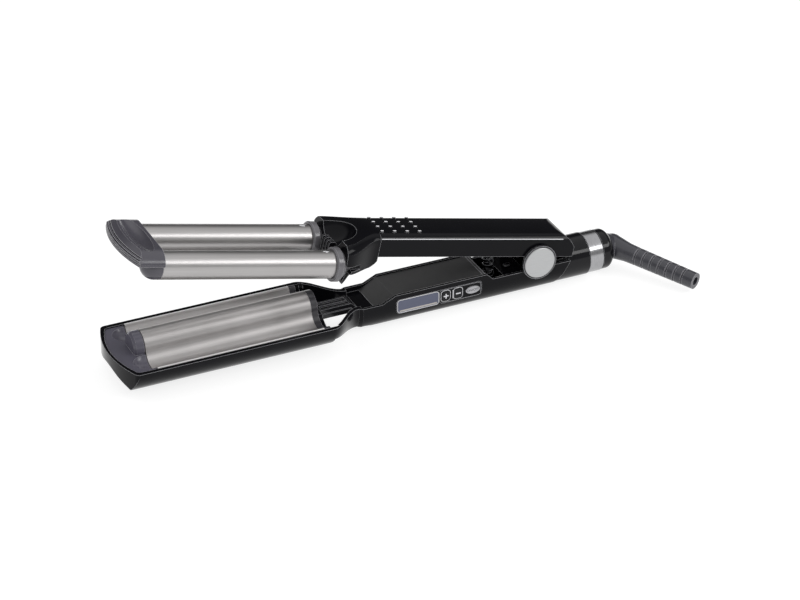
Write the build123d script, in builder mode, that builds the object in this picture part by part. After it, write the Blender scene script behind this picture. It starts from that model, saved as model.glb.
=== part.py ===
"""Hair waver with three barrels: a tray arm on the table and a sprung twin-barrel arm above it.

Millimetres and degrees. +X runs from the hinge to the cord, +Z is up and Z = 0 is the table.
The origin lies on the flat keel, straight below the hinge pin. Every section is drawn about the
hinge axis: the lower arm on BASE planes, the upper arm on ARM planes, which the opening angle turns.
"""

import os
from math import atan2, cos, hypot, radians, sin, sqrt, tan

from build123d import *

os.makedirs("parts", exist_ok=True)

# ---------------------------------------------------------------- driving dimensions
# stance
HINGE_HEIGHT = 26.5  # hinge axis above the table
OPENING_ANGLE = 13.3  # how far the spring holds the arms apart
KEEL_TRIM = 0.3  # depth of the flat strip ground along the keel

# barrels and the waved plate
BARREL_D = 19.0
BARREL_WALL = 1.3
BARREL_PITCH = 38.9  # between the two barrel axes
NEST_GAP = 0.55  # between a closed barrel and its channel
RIDGE_DROP = 1.9  # middle ridge axis below the barrel axes
PLATE_THICKNESS = 1.6
PLATE_LENGTH = 118.0
BAND_LENGTH = 4.7  # insulating band behind the plate
DOME_STANDOFF = 3.0  # dome centre ahead of the barrel end
PLATE_JOINT = 0.4  # dark seam between the lower tip cap and the plate

# lower arm, plan
HANDLE_REACH = 131.0  # hinge axis to the front of the handle
NECK_LENGTH = 29.0
NECK_WAIST = 1.5  # how far the neck ends inside the sides of the handle
FACET_LENGTH = 2.5  # slanted faces where the handle starts
NOSE_LENGTH = 22.5
NOSE_BOW = 7.5  # how far the middle of the nose stands ahead of its corners
NOSE_CORNER = 4.0
TRAY_WIDTH = 68.9
HANDLE_WIDTH = 33.0
TAIL_REACH = 25.0  # hinge axis to the rear edge of the handle rim
SHELL_WALL = 2.0
ARM_WALL = 3.5
RIM_WIDTH = 3.3  # tray rim beside the plate
LEDGE = 1.2  # seat under each edge of the plate

# lower arm, heights below the hinge axis
TRAY_RIM = 3.9
NECK_RIM = 5.6
HANDLE_RIM = 1.0
TRAY_TURN = 3.9  # where the tray's side starts to curve under
HANDLE_TURN = 10.0
NOSE_FACE = 11.0  # foot of the upright nose face
NOSE_ROUND = 44.5  # length over which the keel rises to the nose
STEP_FLOOR = 9.2
STEP_THICKNESS = 2.8
STEP_LENGTH = 14.0
RIM_RISE = 10.0  # ramp of the rim behind the step
WALL_TOP = 6.0  # wall between the plate and the open neck
WELL_D = 24.0  # round hollow under the front of the handle
NECK_EDGE = 2.0  # start of the open neck
REAR_RAKE = 30.0  # lean of the handle's rear edge

# fits
FIT = 0.1  # between pieces of one arm
RUNNING_GAP = 0.05  # radial, round the pin and in the swivel
SWING_GAP = 0.35  # between the two arms at the hinge
COLLAR_GAP = 0.7  # radial, round the closed barrel collars
NECK_GAP = 0.8  # between the closed fork and the neck arms
BAND_GAP = 0.8  # between the barrel collars and the plate band

# upper arm
GRIP_RIDGE_INSET = 1.25  # ridge lines inside the sides of the handle
GRIP_RIDGE_HEIGHT = 16.2
GRIP_FLAT_WIDTH = 22.0
GRIP_TOP = 19.0
GRIP_CROWN = 0.5
GRIP_BASE = 3.4  # underside above the hinge axis
GRIP_INSET = 0.5  # flanks of the grip inside the sides of the handle
BEVEL = 2.0  # small step under the ridge line
BEVEL_STEP = 0.35
SHOULDER_BULGE = 0.5
GRIP_TAIL = 12.0  # hinge axis to where the top turns down
GRIP_REACH = 26.0  # hinge axis to the rear end
TAIL_MID_X = 24.0
TAIL_MID_Z = 13.2
TAIL_LOW_X = 27.2
TAIL_LOW_Z = 7.5
TAIL_ROOM = 23.4  # rear wall of the hollow behind the hinge axis
GRIP_WALL = 2.0
FORK_LENGTH = 28.7
FORK_STEP = 0.7  # how far the fork stands proud of the grip at their joint
FORK_WIDTH = 55.0
FORK_RIDGE_HEIGHT = 10.0
FORK_FLAT_WIDTH = 45.0
FORK_TOP = 15.0
FORK_FLANK_WIDTH = 59.0
FORK_SKIRT = 3.4  # lower edge of the flanks below the hinge axis
KNUCKLE_LENGTH = 10.0  # rounded rear corner of the fork
KNUCKLE_EASE = 0.5  # how far the round runs past the faces that it joins
FORK_SLOT_TOP = 1.8  # recess in each flank: its roof, its floor and its lower front corner
FORK_SLOT_FLOOR = 1.4
FORK_SLOT_FOOT = 8.5
FORK_SLOT_LENGTH = 14.0
FORK_SLOT_KINK = 5.0  # from the front of the fork to where the floor turns down
FORK_SLOT_Y = 24.0
FIN_COUNT = 4  # upright fins between the barrel roots
FIN_PITCH = 3.6
FIN_WIDTH = 1.6
FIN_LENGTH = 5.6
FIN_ROOT = 1.6
FIN_TOP = 9.5
FIN_FOOT = 4.4
FIN_ROUND = 2.0
LEG_DEPTH = 8.0
LEG_DEPTH_FRONT = 11.0
SCOOP_LENGTH = 19.0
SCOOP_RADIUS = 17.0
SCOOP_FLOOR = 5.0
SCOOP_AHEAD = 2.5  # scoop centre ahead of the fork
LEG_CLEARANCE = 3.0  # legs end ahead of the handle
VALLEY_GAP = 1.0  # each side of the spine bridge
VALLEY_ROOF = 4.6
COLLAR_D = 23.0
COLLAR_LENGTH = 4.5
COLLAR_NECK = 2.8  # waist between the collar and the fork
COLLAR_NECK_D = 18.0
COLLAR_CHAMFER = 0.8
COLLAR_SEAT = 3.0  # how deep a barrel sits in its collar
SPIGOT_D = 10.0
SPIGOT_LENGTH = 5.0

# grip studs
STUD_ROWS = 4
STUD_COLUMNS = 4
STUD_PITCH_X = 9.45
STUD_PITCH_Y = 7.0
STUD_LENGTH = 2.4
STUD_WIDTH = 1.3
STUD_HEIGHT = 0.7
STUD_START = 2.1  # first column behind the fork root
STUD_ROOT = 0.6  # how deep a stud is let into the top
STUD_FIT = 0.05

# upper tip cap
CAP_TOP = 12.2
CAP_SIDE_R = 12.2
TAB_UNDERSIDE = 3.6
TAB_OVERHANG = 1.5  # tab front ahead of the nose
TAB_WIDTH = 61.0
TAB_BOW = 6.0
TAB_SLOPE_LENGTH = 5.6
TAB_SLOPE_HEIGHT = 5.0
DISH_LENGTH = 53.0
DISH_WIDTH = 14.0
DISH_DEPTH = 3.2
DISH_OFFSET = 9.6  # dish middle ahead of the barrel ends
TAB_GROOVES = 4
TAB_GROOVE_PITCH = 1.25
TAB_GROOVE_WIDTH = 0.5
TAB_GROOVE_DEPTH = 0.5
TAB_GROOVE_START = 1.4  # first groove above the underside

# lower tip cap
CAP_FLOOR = 4.7
CAP_SHOULDER = 8.0  # where the pocket steps inward
CAP_STEP = 4.0
POCKET_DEPTH = 12.6
STUB_LENGTH = 7.4
STUB_BEVEL = 1.5  # tapered end of the ridge stub
STUB_GAP = 0.6

# spine bridge over the open neck
SPINE_WIDTH = 11.0
SPINE_FOOT_WIDTH = 13.0
SPINE_TOP = 5.6
SPINE_BOTTOM = 12.0
SPINE_STEP = 8.6  # top of the wider foot
SPINE_RAIL = 1.3
SPINE_SLOPE = 4.0
SPINE_CHANNEL = 1.1  # depth between the rails
SPINE_RIB = 0.8  # low rib along the middle of the channel
NECK_WALL = 3.3  # wall that closes the tray behind the band

# handle cover
COVER_DROP = 1.0  # cover below the rim
COVER_THICKNESS = 1.8
COVER_REACH = 38.5  # hinge axis to the rear edge of the cover
COVER_LIP = 8.0  # foot of the turned down rear edge
COVER_LIP_THICKNESS = 1.5
RAMP_LENGTH = 13.0
RAMP_INSET = 10.0  # foot of the ramp behind the front of the handle
WELL_START = 34.5  # hinge axis to where the rim dips for the hinge
WELL_RIM = 5.5

# control panel
PANEL_LENGTH = 63.4
PANEL_HEIGHT = 10.6
PANEL_X = -74.9
PANEL_Z = -9.9
PANEL_THICKNESS = 1.2
PANEL_PROUD = 0.1
PANEL_LEDGE = 0.8
PANEL_CORNER = 2.4
WINDOW_LENGTH = 29.8
WINDOW_HEIGHT = 8.8
WINDOW_X = -90.7
WINDOW_CORNER = 1.6
WINDOW_PROUD = 0.15
WINDOW_THICKNESS = 1.1
MODULE_LENGTH = 27.0
MODULE_HEIGHT = 7.2
MODULE_THICKNESS = 2.3
KEY_LENGTH = 6.0
KEY_HEIGHT = 7.2
KEY_PROUD = 0.6
KEY_PITCH = 9.2
PLUS_X = -70.2
KEY_Z = -9.8  # all three keys
POWER_X = -50.0
POWER_LENGTH = 10.4
POWER_HEIGHT = 5.2
KEY_TRAVEL = 0.5
KEY_CLEARANCE = 0.2
KEY_FLANGE = 0.5
KEY_FLANGE_THICKNESS = 0.7
KEY_CORNER = 1.8
MARK_LENGTH = 2.6
MARK_WIDTH = 0.7
MARK_DEPTH = 0.2
SWITCH_SIZE = 3.6
SWITCH_GAP = 0.1  # left when a key is fully pressed
SWITCH_THICKNESS = 0.9
BOARD_THICKNESS = 1.6
BOARD_SETBACK = 2.6  # front end behind the top of the ramp
BOARD_REACH = 44.4  # hinge axis to the rear end
BOARD_TOP = 4.4
BOARD_BOTTOM = 15.2

# hinge
PIN_D = 6.0
EAR_D = 24.8
EAR_THICKNESS = 1.3
DISC_D = 22.6
DISC_THICKNESS = 1.4
BEZEL_THICKNESS = 0.8
LUG_D = 13.0
LUG_THICKNESS = 4.0
SPRING_REACH = 30.0
SPRING_D = 9.0
SPRING_WIRE = 1.2
SPRING_TURNS = 5
SPRING_SEAT = 15.0
WIRE_FACETS = 8
BOSS_D = 11.0
POST_D = 5.0
POST_LENGTH = 6.0
DECK_DROP = 7.4  # deck between the spring and the hinge, below the hinge axis
DECK_THICKNESS = 1.6
DECK_GAP = 1.2
DECK_BOSS_LENGTH = 5.0
DECK_BOSS_WIDTH = 3.0
DECK_BOSS_HEIGHT = 0.8
SLEEVE_D = 8.0
SLEEVE_GAP = 0.3  # between the sleeve and the upper cover
LUG_GAP = 0.3
COVER_GAP = 0.3  # between the upper cover and the slanted flanks
PIN_SETBACK = 0.1
DISC_EDGE = 0.4

# cord swivel
SWIVEL_DROP = 11.7
SWIVEL_D = 29.6
SWIVEL_REACH = 41.5
RING_LENGTH = 11.0
RING_D = 28.8
RING_BORE_D = 22.4
RING_CHAMFER = 0.5
PLUG_D = 25.4
PLUG_REACH = 8.0
JOURNAL_D = 16.0
JOURNAL_LENGTH = 20.0
JOURNAL_TAIL = 0.6
CONE_LENGTH = 8.5
CONE_END_D = 22.6
CONE_STRAIGHT = 4.0  # full width before the cone rounds in
CORD_BORE_D = 6.4
CONE_ROOT_D = 28.0
CONE_GAP = 0.3
CLIP_D = 20.0
CLIP_THICKNESS = 1.2
CLIP_GAP = 0.1
CLIP_GROOVE = 0.8
CLIP_MOUTH = 9.0
CLIP_ROOM = 0.4
STEM_D = 12.0
STEM_LENGTH = 5.3
KNEE_D = 17.2
KNEE_REACH = 4.5  # cone end to the bend
KNEE_ROOT_D = 20.8
KNEE_TAIL = 13.0  # length over which the bend thins to the sleeve
BOOT_AZIMUTH = -60.2
BOOT_DIP = 5.1
BOOT_LENGTH = 68.0
BOOT_ROOT_D = 13.4
BOOT_TIP_D = 11.7
BOOT_RIBS = 7
BOOT_RIB_PITCH = 6.3
BOOT_RIB_START = 21.0
BOOT_GROOVE = 1.5
BOOT_GROOVE_DEPTH = 0.8

# heaters and fasteners
CERAMIC_WIDTH = 12.0
CERAMIC_THICKNESS = 3.0
CERAMIC_LENGTH = 70.0
CORE_INSET = 9.0  # core behind the front end of the plate
CORE_REAR_INSET = 1.0  # core ahead of the rear end of the plate
CORE_GAP = 0.2
CORE_FLAT = 8.0  # flat underside of the ridge core
FUSE_LENGTH = 14.0
FUSE_D = 4.0
FUSE_INSET = 54.0  # fuse behind the front end of the plate
SCREW_D = 3.0
SCREW_HEAD_D = 5.6
SCREW_HEAD = 1.2
SCREW_GAP = 0.05
SCREW_DEPTH = 6.0  # thread above the head seat of an upper cover screw
SCREW_BOSS_D = 6.4
SCREW_STUB = 4.2
CASE_SCREW_SINK = 2.3
CASE_SCREW_Y = 5.0
CASE_SCREW_INSET = 10.0  # screws inside the two ends of the level cover
COVER_SCREW_INSET = 10.5  # front screw inside the hollow of the grip
COVER_SCREW_REACH = 40.0  # hinge axis to the rear screw

# construction
NECK_STATIONS = 6
FORK_STATIONS = 5
HALF_TURN = 180
QUARTER_TURN = 90

# ---------------------------------------------------------------- derived stations and radii
BASE = Location((0, 0, HINGE_HEIGHT))
ARM = Location((0, 0, HINGE_HEIGHT), (0, OPENING_ANGLE, 0))
SWIVEL = Location((0, 0, HINGE_HEIGHT - SWIVEL_DROP))

half_pitch = BARREL_PITCH / 2
barrel_r = BARREL_D / 2
channel_r = barrel_r + NEST_GAP
ridge_r = hypot(half_pitch, RIDGE_DROP) - channel_r
ridge_lean = atan2(RIDGE_DROP, half_pitch)
tray_half = TRAY_WIDTH / 2
handle_half = HANDLE_WIDTH / 2
handle_inner = handle_half - SHELL_WALL
base_half = handle_half - GRIP_INSET
plate_half = tray_half - RIM_WIDTH
plate_seat = TRAY_RIM + PLATE_THICKNESS
step_underside = STEP_FLOOR + STEP_THICKNESS

handle_front = -HANDLE_REACH
step_rear = handle_front + STEP_LENGTH
handle_room = step_rear + SHELL_WALL
neck_front = handle_front - NECK_LENGTH
waist_x = handle_front - FACET_LENGTH
waist_half = handle_half - NECK_WAIST
opening_front = neck_front + NECK_EDGE
band_rear = opening_front - NECK_WALL
plate_rear = band_rear - BAND_LENGTH
plate_front = plate_rear - PLATE_LENGTH
nose_x = plate_front - NOSE_LENGTH
collar_front = band_rear + BAND_GAP
collar_rear = collar_front + COLLAR_LENGTH
fork_front = collar_rear + COLLAR_NECK
fork_root = fork_front + FORK_LENGTH
grip_room = fork_root + GRIP_WALL
barrel_rear = collar_front + COLLAR_SEAT
dome_x = plate_front - DOME_STANDOFF
ramp_foot_x = handle_front + RAMP_INSET
ramp_top_x = ramp_foot_x + RAMP_LENGTH
rake_slope = tan(radians(REAR_RAKE))
opening_angle = radians(OPENING_ANGLE)
case_screw_xs = (ramp_top_x + CASE_SCREW_INSET, -COVER_REACH - CASE_SCREW_INSET)
cover_screw_front = grip_room + COVER_SCREW_INSET
cover_screw_xs = (cover_screw_front, (cover_screw_front - COVER_SCREW_REACH) / 2, -COVER_SCREW_REACH)


def ease(t):
    """Smooth step from 0 to 1, level at both ends."""
    return t * t * (3 - 2 * t)


def blend(start, end, t):
    """Value that moves from start to end along the smooth step."""
    return start + (end - start) * ease(t)


def neck_half(x):
    """Outer half width of the lower arm in the neck."""
    t = min(max((x - neck_front) / (waist_x - neck_front), 0), 1)
    return blend(tray_half, waist_half, t)


def on(frame, plane):
    """The plane carried into the frame of an arm."""
    return Plane(frame * plane.location)


def axis_x(frame, y, z):
    """Line along the frame through (y, z)."""
    plane = on(frame, Plane.XY)
    return Axis(plane.from_local_coords((0, y, z)), plane.x_dir)


def rod(frame, start, end, y, z, radius, mode=Mode.ADD):
    """Round bar along the frame from one station to another."""
    with BuildSketch(on(frame, Plane.YZ.offset(start))) as section:
        with Locations((y, z)):
            Circle(radius)
    extrude(section.sketch, amount=end - start, mode=mode)


def taper(frame, start, end, y, z, start_radius, end_radius, mode=Mode.ADD):
    """Tapered bar along the frame from one station to another."""
    with BuildSketch(on(frame, Plane.YZ.offset(start))) as first:
        with Locations((y, z)):
            Circle(start_radius)
    with BuildSketch(on(frame, Plane.YZ.offset(end))) as last:
        with Locations((y, z)):
            Circle(end_radius)
    loft([first.sketch.face(), last.sketch.face()], mode=mode)


def axle(frame, start, end, x, z, radius, mode=Mode.ADD):
    """Round bar across the frame from one side to another."""
    with BuildSketch(on(frame, Plane.XZ.offset(-start))) as section:
        with Locations((x, z)):
            Circle(radius)
    extrude(section.sketch, amount=start - end, mode=mode)


def post(frame, start, end, x, y, radius, mode=Mode.ADD):
    """Round bar upright in the frame from one height to another."""
    with BuildSketch(on(frame, Plane.XY.offset(start))) as section:
        with Locations((x, y)):
            Circle(radius)
    extrude(section.sketch, amount=end - start, mode=mode)


def block(frame, x_span, y_span, z_span, mode=Mode.ADD):
    """Box in the frame, given as (low, high) pairs."""
    with BuildSketch(on(frame, Plane.XY.offset(z_span[0]))) as section:
        with Locations((sum(x_span) / 2, sum(y_span) / 2)):
            Rectangle(x_span[1] - x_span[0], y_span[1] - y_span[0])
    extrude(section.sketch, amount=z_span[1] - z_span[0], mode=mode)


def ball(frame, x, y, z, radius, mode=Mode.ADD):
    """Sphere at a point of the frame."""
    with Locations(frame * Location((x, y, z))):
        Sphere(radius, mode=mode)


def wave_edges(depth):
    """Waved surface of the plate, sunk by depth, as five edges of the current line."""
    hollow = channel_r + depth
    crest = ridge_r - depth
    edge_z = -TRAY_RIM - depth
    edge_y = half_pitch + sqrt(hollow**2 - edge_z**2)
    meet_y = crest * cos(ridge_lean)
    meet_z = crest * sin(ridge_lean) - RIDGE_DROP
    Line((plate_half, edge_z), (edge_y, edge_z))
    ThreePointArc((edge_y, edge_z), (half_pitch, -hollow), (meet_y, meet_z))
    ThreePointArc((meet_y, meet_z), (0, crest - RIDGE_DROP), (-meet_y, meet_z))
    ThreePointArc((-meet_y, meet_z), (-half_pitch, -hollow), (-edge_y, edge_z))
    Line((-edge_y, edge_z), (-plate_half, edge_z))


def wave_slab(front, rear):
    """Length of the waved plate section between two stations."""
    with BuildSketch(on(BASE, Plane.YZ.offset(front))) as section:
        with BuildLine():
            wave_edges(0)
            wave_edges(PLATE_THICKNESS)
            for side in (-plate_half, plate_half):
                Line((side, -TRAY_RIM), (side, -plate_seat))
        make_face()
    extrude(section.sketch, amount=rear - front)


def hull_face(half, turn, keel):
    """U section of the lower arm: straight sides from the hinge level, then an elliptical belly."""
    with BuildLine() as outline:
        Line((-half, 0), (half, 0))
        Line((half, 0), (half, -turn))
        EllipticalCenterArc((0, -turn), half, keel - turn, HALF_TURN, arc_size=HALF_TURN)
        Line((-half, -turn), (-half, 0))
    make_face(outline.edges())


def nose_face(side_inset, front_inset, rear):
    """Plan of the lower arm ahead of a station, with a bowed nose and rounded corners."""
    side = tray_half - side_inset
    corner_x = nose_x + NOSE_BOW + front_inset
    with BuildLine() as outline:
        ThreePointArc((corner_x, side), (nose_x + front_inset, 0), (corner_x, -side))
        Polyline((corner_x, -side), (rear, -side), (rear, side), (corner_x, side))
    plan = make_face(outline.edges())
    fillet(plan.vertices().group_by(Axis.X)[0], NOSE_CORNER)


def neck_face(inset, front, rear):
    """Plan of the open neck between two stations, inset from its outer sides."""
    stations = [front + (rear - front) * step / NECK_STATIONS for step in range(NECK_STATIONS + 1)]
    near = [(x, inset - neck_half(x)) for x in stations]
    far = [(x, -y) for x, y in reversed(near)]
    with BuildLine() as outline:
        Spline(near)
        Line(near[-1], far[0])
        Spline(far)
        Line(far[-1], near[0])
    make_face(outline.edges())


def grip_face(ridge_half, ridge_z, flat_half, top_z, flank_half, flank_z):
    """Section of the upper arm: flanks, a small bevel, ridge lines, shoulders and a crowned top."""
    bevel_half = ridge_half + BEVEL_STEP
    shoulder_y = (ridge_half + flat_half) / 2 + SHOULDER_BULGE / 2
    shoulder_z = (ridge_z + top_z) / 2 + SHOULDER_BULGE
    with BuildLine() as outline:
        Polyline(
            (-ridge_half, ridge_z),
            (-bevel_half, ridge_z - BEVEL),
            (-flank_half, flank_z),
            (flank_half, flank_z),
            (bevel_half, ridge_z - BEVEL),
            (ridge_half, ridge_z),
        )
        ThreePointArc((ridge_half, ridge_z), (shoulder_y, shoulder_z), (flat_half, top_z))
        ThreePointArc((flat_half, top_z), (0, top_z + GRIP_CROWN), (-flat_half, top_z))
        ThreePointArc((-flat_half, top_z), (-shoulder_y, shoulder_z), (-ridge_half, ridge_z))
    make_face(outline.edges())


def panel_slab(start, end, inset, mode=Mode.ADD):
    """Rounded slab of the control panel between two distances from the middle of the handle."""
    with BuildSketch(on(BASE, Plane.XZ.offset(start))) as section:
        with Locations((PANEL_X, PANEL_Z)):
            RectangleRounded(PANEL_LENGTH - 2 * inset, PANEL_HEIGHT - 2 * inset, PANEL_CORNER)
    extrude(section.sketch, amount=end - start, mode=mode)


def side_slab(x, z, length, height, corner, start, end, mode=Mode.ADD):
    """Rounded slab on the side of the handle, between two distances from its middle."""
    with BuildSketch(on(BASE, Plane.XZ.offset(start))) as section:
        with Locations((x, z)):
            RectangleRounded(length, height, corner)
    extrude(section.sketch, amount=end - start, mode=mode)


def oval_slab(x, z, length, height, start, end, mode=Mode.ADD):
    """Oval slab on the side of the handle, between two distances from its middle."""
    with BuildSketch(on(BASE, Plane.XZ.offset(start))) as section:
        with Locations((x, z)):
            Ellipse(length / 2, height / 2)
    extrude(section.sketch, amount=end - start, mode=mode)


# ---------------------------------------------------------------- lower shell
with BuildPart() as lower_shell:
    # hull: tray, neck and handle
    with BuildSketch(on(BASE, Plane.YZ.offset(nose_x))):
        hull_face(tray_half, TRAY_TURN, HINGE_HEIGHT + KEEL_TRIM)
    extrude(amount=neck_front - nose_x)
    for station in range(NECK_STATIONS + 1):
        share = station / NECK_STATIONS
        neck_x = neck_front + share * (waist_x - neck_front)
        with BuildSketch(on(BASE, Plane.YZ.offset(neck_x))):
            hull_face(neck_half(neck_x), blend(TRAY_TURN, HANDLE_TURN, share), HINGE_HEIGHT + KEEL_TRIM)
    loft()
    for facet_x, facet_half in ((waist_x, waist_half), (handle_front, handle_half)):
        with BuildSketch(on(BASE, Plane.YZ.offset(facet_x))):
            hull_face(facet_half, HANDLE_TURN, HINGE_HEIGHT + KEEL_TRIM)
    loft(ruled=True)
    with BuildSketch(on(BASE, Plane.YZ.offset(handle_front))):
        hull_face(handle_half, HANDLE_TURN, HINGE_HEIGHT + KEEL_TRIM)
    extrude(amount=HANDLE_REACH + TAIL_REACH)
    # side outline: rim steps, raked rear edge, flat keel and rising nose
    with BuildSketch(on(BASE, Plane.XZ)):
        with BuildLine():
            Polyline(
                (nose_x, -NOSE_FACE),
                (nose_x, -TRAY_RIM),
                (neck_front + NECK_LENGTH / 3, -TRAY_RIM),
                (handle_front, -NECK_RIM),
                (step_rear, -NECK_RIM),
                (step_rear + RIM_RISE, -HANDLE_RIM),
                (-WELL_START - WELL_RIM + HANDLE_RIM, -HANDLE_RIM),
                (-WELL_START, -WELL_RIM),
                (TAIL_REACH, -WELL_RIM),
                (TAIL_REACH - (HINGE_HEIGHT - WELL_RIM) * rake_slope, -HINGE_HEIGHT),
                (nose_x + NOSE_ROUND, -HINGE_HEIGHT),
            )
            EllipticalCenterArc(
                (nose_x + NOSE_ROUND, -NOSE_FACE),
                NOSE_ROUND,
                HINGE_HEIGHT - NOSE_FACE,
                HALF_TURN,
                arc_size=QUARTER_TURN,
            )
        make_face()
    extrude(amount=TRAY_WIDTH, both=True, mode=Mode.INTERSECT)
    with BuildSketch(on(BASE, Plane.XY)):
        nose_face(0, 0, neck_front)
        with Locations(((neck_front + TAIL_REACH) / 2, 0)):
            Rectangle(TAIL_REACH - neck_front, TRAY_WIDTH)
    extrude(amount=-2 * HINGE_HEIGHT, mode=Mode.INTERSECT)

    # tray: seat and trough of the plate, two-step pocket of the tip cap
    block(
        BASE,
        (plate_front, band_rear),
        (-plate_half - FIT, plate_half + FIT),
        (-plate_seat, 0),
        Mode.SUBTRACT,
    )
    with BuildSketch(on(BASE, Plane.YZ.offset(plate_front))):
        hull_face(plate_half - LEDGE, plate_seat, HINGE_HEIGHT - SHELL_WALL)
    extrude(amount=band_rear - plate_front, mode=Mode.SUBTRACT)
    with BuildSketch(on(BASE, Plane.XY.offset(-CAP_SHOULDER))):
        nose_face(RIM_WIDTH, SHELL_WALL, plate_front)
    extrude(amount=CAP_SHOULDER, mode=Mode.SUBTRACT)
    with BuildSketch(on(BASE, Plane.XY.offset(-POCKET_DEPTH))):
        nose_face(RIM_WIDTH + CAP_STEP, SHELL_WALL + CAP_STEP, plate_front)
    extrude(amount=POCKET_DEPTH, mode=Mode.SUBTRACT)

    # open neck: room for the closed collars, the through opening and the round hollow behind it
    block(BASE, (band_rear, opening_front), (-half_pitch, half_pitch), (-WALL_TOP, 0), Mode.SUBTRACT)
    for side in (-half_pitch, half_pitch):
        rod(BASE, band_rear, collar_rear + COLLAR_GAP, side, 0, COLLAR_D / 2 + COLLAR_GAP, Mode.SUBTRACT)
    with BuildSketch(on(BASE, Plane.XY)):
        neck_face(ARM_WALL, opening_front, handle_front)
    extrude(amount=-2 * HINGE_HEIGHT, mode=Mode.SUBTRACT)
    post(BASE, -2 * HINGE_HEIGHT, -step_underside, step_rear - WELL_D / 2, 0, WELL_D / 2, Mode.SUBTRACT)

    # handle: step, hollow and control panel seat
    block(BASE, (handle_front, handle_room), (-handle_inner, handle_inner), (-STEP_FLOOR, 0), Mode.SUBTRACT)
    with BuildSketch(on(BASE, Plane.YZ.offset(handle_room))):
        hull_face(handle_inner, HANDLE_TURN, HINGE_HEIGHT - SHELL_WALL)
    extrude(amount=TAIL_REACH - handle_room, mode=Mode.SUBTRACT)
    panel_slab(handle_half + PANEL_PROUD - PANEL_THICKNESS - FIT, HANDLE_WIDTH, -FIT, Mode.SUBTRACT)
    panel_slab(handle_half / 2, HANDLE_WIDTH, PANEL_LEDGE, Mode.SUBTRACT)

    # hinge ears, spring seat and screw bosses
    ear_inner = base_half + SWING_GAP
    ear_outer = ear_inner + EAR_THICKNESS
    axle(BASE, ear_inner, ear_outer, 0, 0, EAR_D / 2)
    axle(BASE, -ear_outer, -ear_inner, 0, 0, EAR_D / 2)
    axle(BASE, -ear_outer, ear_outer, 0, 0, PIN_D / 2 + RUNNING_GAP, Mode.SUBTRACT)
    floor_z = SHELL_WALL / 2 - HINGE_HEIGHT
    post(BASE, floor_z, -SPRING_SEAT, -SPRING_REACH, 0, BOSS_D / 2)
    post(BASE, -SPRING_SEAT, POST_LENGTH - SPRING_SEAT, -SPRING_REACH, 0, POST_D / 2)
    # deck with an oval boss between the spring and the hinge
    deck_span = (DECK_GAP + SPRING_D / 2 - SPRING_REACH, -LUG_D / 2 - DECK_GAP)
    deck_half = handle_half - SHELL_WALL / 2
    block(BASE, deck_span, (-deck_half, deck_half), (-DECK_DROP - DECK_THICKNESS, -DECK_DROP))
    with BuildSketch(on(BASE, Plane.XY.offset(-DECK_DROP))):
        with Locations((sum(deck_span) / 2, 0)):
            Ellipse(DECK_BOSS_LENGTH / 2, DECK_BOSS_WIDTH / 2)
    extrude(amount=DECK_BOSS_HEIGHT)
    cover_underside = HANDLE_RIM + COVER_DROP + COVER_THICKNESS
    case_head_z = CASE_SCREW_SINK - HINGE_HEIGHT
    for screw_x in case_screw_xs:
        post(BASE, floor_z, -cover_underside - SCREW_STUB - FIT, screw_x, CASE_SCREW_Y, SCREW_BOSS_D / 2)
        post(BASE, -HINGE_HEIGHT, 0, screw_x, CASE_SCREW_Y, SCREW_D / 2 + SCREW_GAP, Mode.SUBTRACT)
        post(BASE, -HINGE_HEIGHT, case_head_z, screw_x, CASE_SCREW_Y, SCREW_HEAD_D / 2 + FIT, Mode.SUBTRACT)

lower_shell.part.label = "lower_shell"
export_step(lower_shell.part, "parts/lower_shell.step")

# ---------------------------------------------------------------- inner cover of the handle
with BuildPart() as lower_cover:
    cover_half = handle_inner - 2 * FIT
    cover_top = -HANDLE_RIM - COVER_DROP
    ramp_foot_z = FIT - STEP_FLOOR
    ramp_slope = RAMP_LENGTH / (cover_top - ramp_foot_z)
    with BuildSketch(on(BASE, Plane.XZ.offset(-cover_half))):
        with BuildLine():
            Polyline(
                (-COVER_REACH, cover_top),
                (ramp_top_x, cover_top),
                (ramp_foot_x, ramp_foot_z),
                (ramp_foot_x + COVER_THICKNESS * ramp_slope, ramp_foot_z),
                (ramp_top_x + FIT * ramp_slope, -cover_underside),
                (-COVER_REACH - COVER_LIP_THICKNESS, -cover_underside),
                (-COVER_REACH - COVER_LIP_THICKNESS, -COVER_LIP),
                (-COVER_REACH, -COVER_LIP),
                close=True,
            )
        make_face()
    extrude(amount=2 * cover_half)
    for screw_x in case_screw_xs:
        stub_foot = -cover_underside - SCREW_STUB
        post(BASE, stub_foot, -cover_underside, screw_x, CASE_SCREW_Y, SCREW_BOSS_D / 2)
        post(BASE, stub_foot, -cover_underside, screw_x, CASE_SCREW_Y, SCREW_D / 2 + SCREW_GAP, Mode.SUBTRACT)

lower_cover.part.label = "lower_cover"
export_step(lower_cover.part, "parts/lower_cover.step")

with BuildPart() as case_screws:
    for screw_x in case_screw_xs:
        screw_top = -cover_underside - FIT
        post(BASE, case_head_z - SCREW_HEAD, case_head_z, screw_x, CASE_SCREW_Y, SCREW_HEAD_D / 2)
        post(BASE, case_head_z, screw_top, screw_x, CASE_SCREW_Y, SCREW_D / 2)

case_screws.part.label = "case_screws"
export_step(case_screws.part, "parts/case_screws.step")

# ---------------------------------------------------------------- waved plate and its heater
with BuildPart() as wave_plate:
    wave_slab(plate_front + FIT, plate_rear)

wave_plate.part.label = "wave_plate"
export_step(wave_plate.part, "parts/wave_plate.step")

with BuildPart() as plate_end_band:
    wave_slab(plate_rear + FIT, band_rear - FIT)

plate_end_band.part.label = "plate_end_band"
export_step(plate_end_band.part, "parts/plate_end_band.step")

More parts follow.
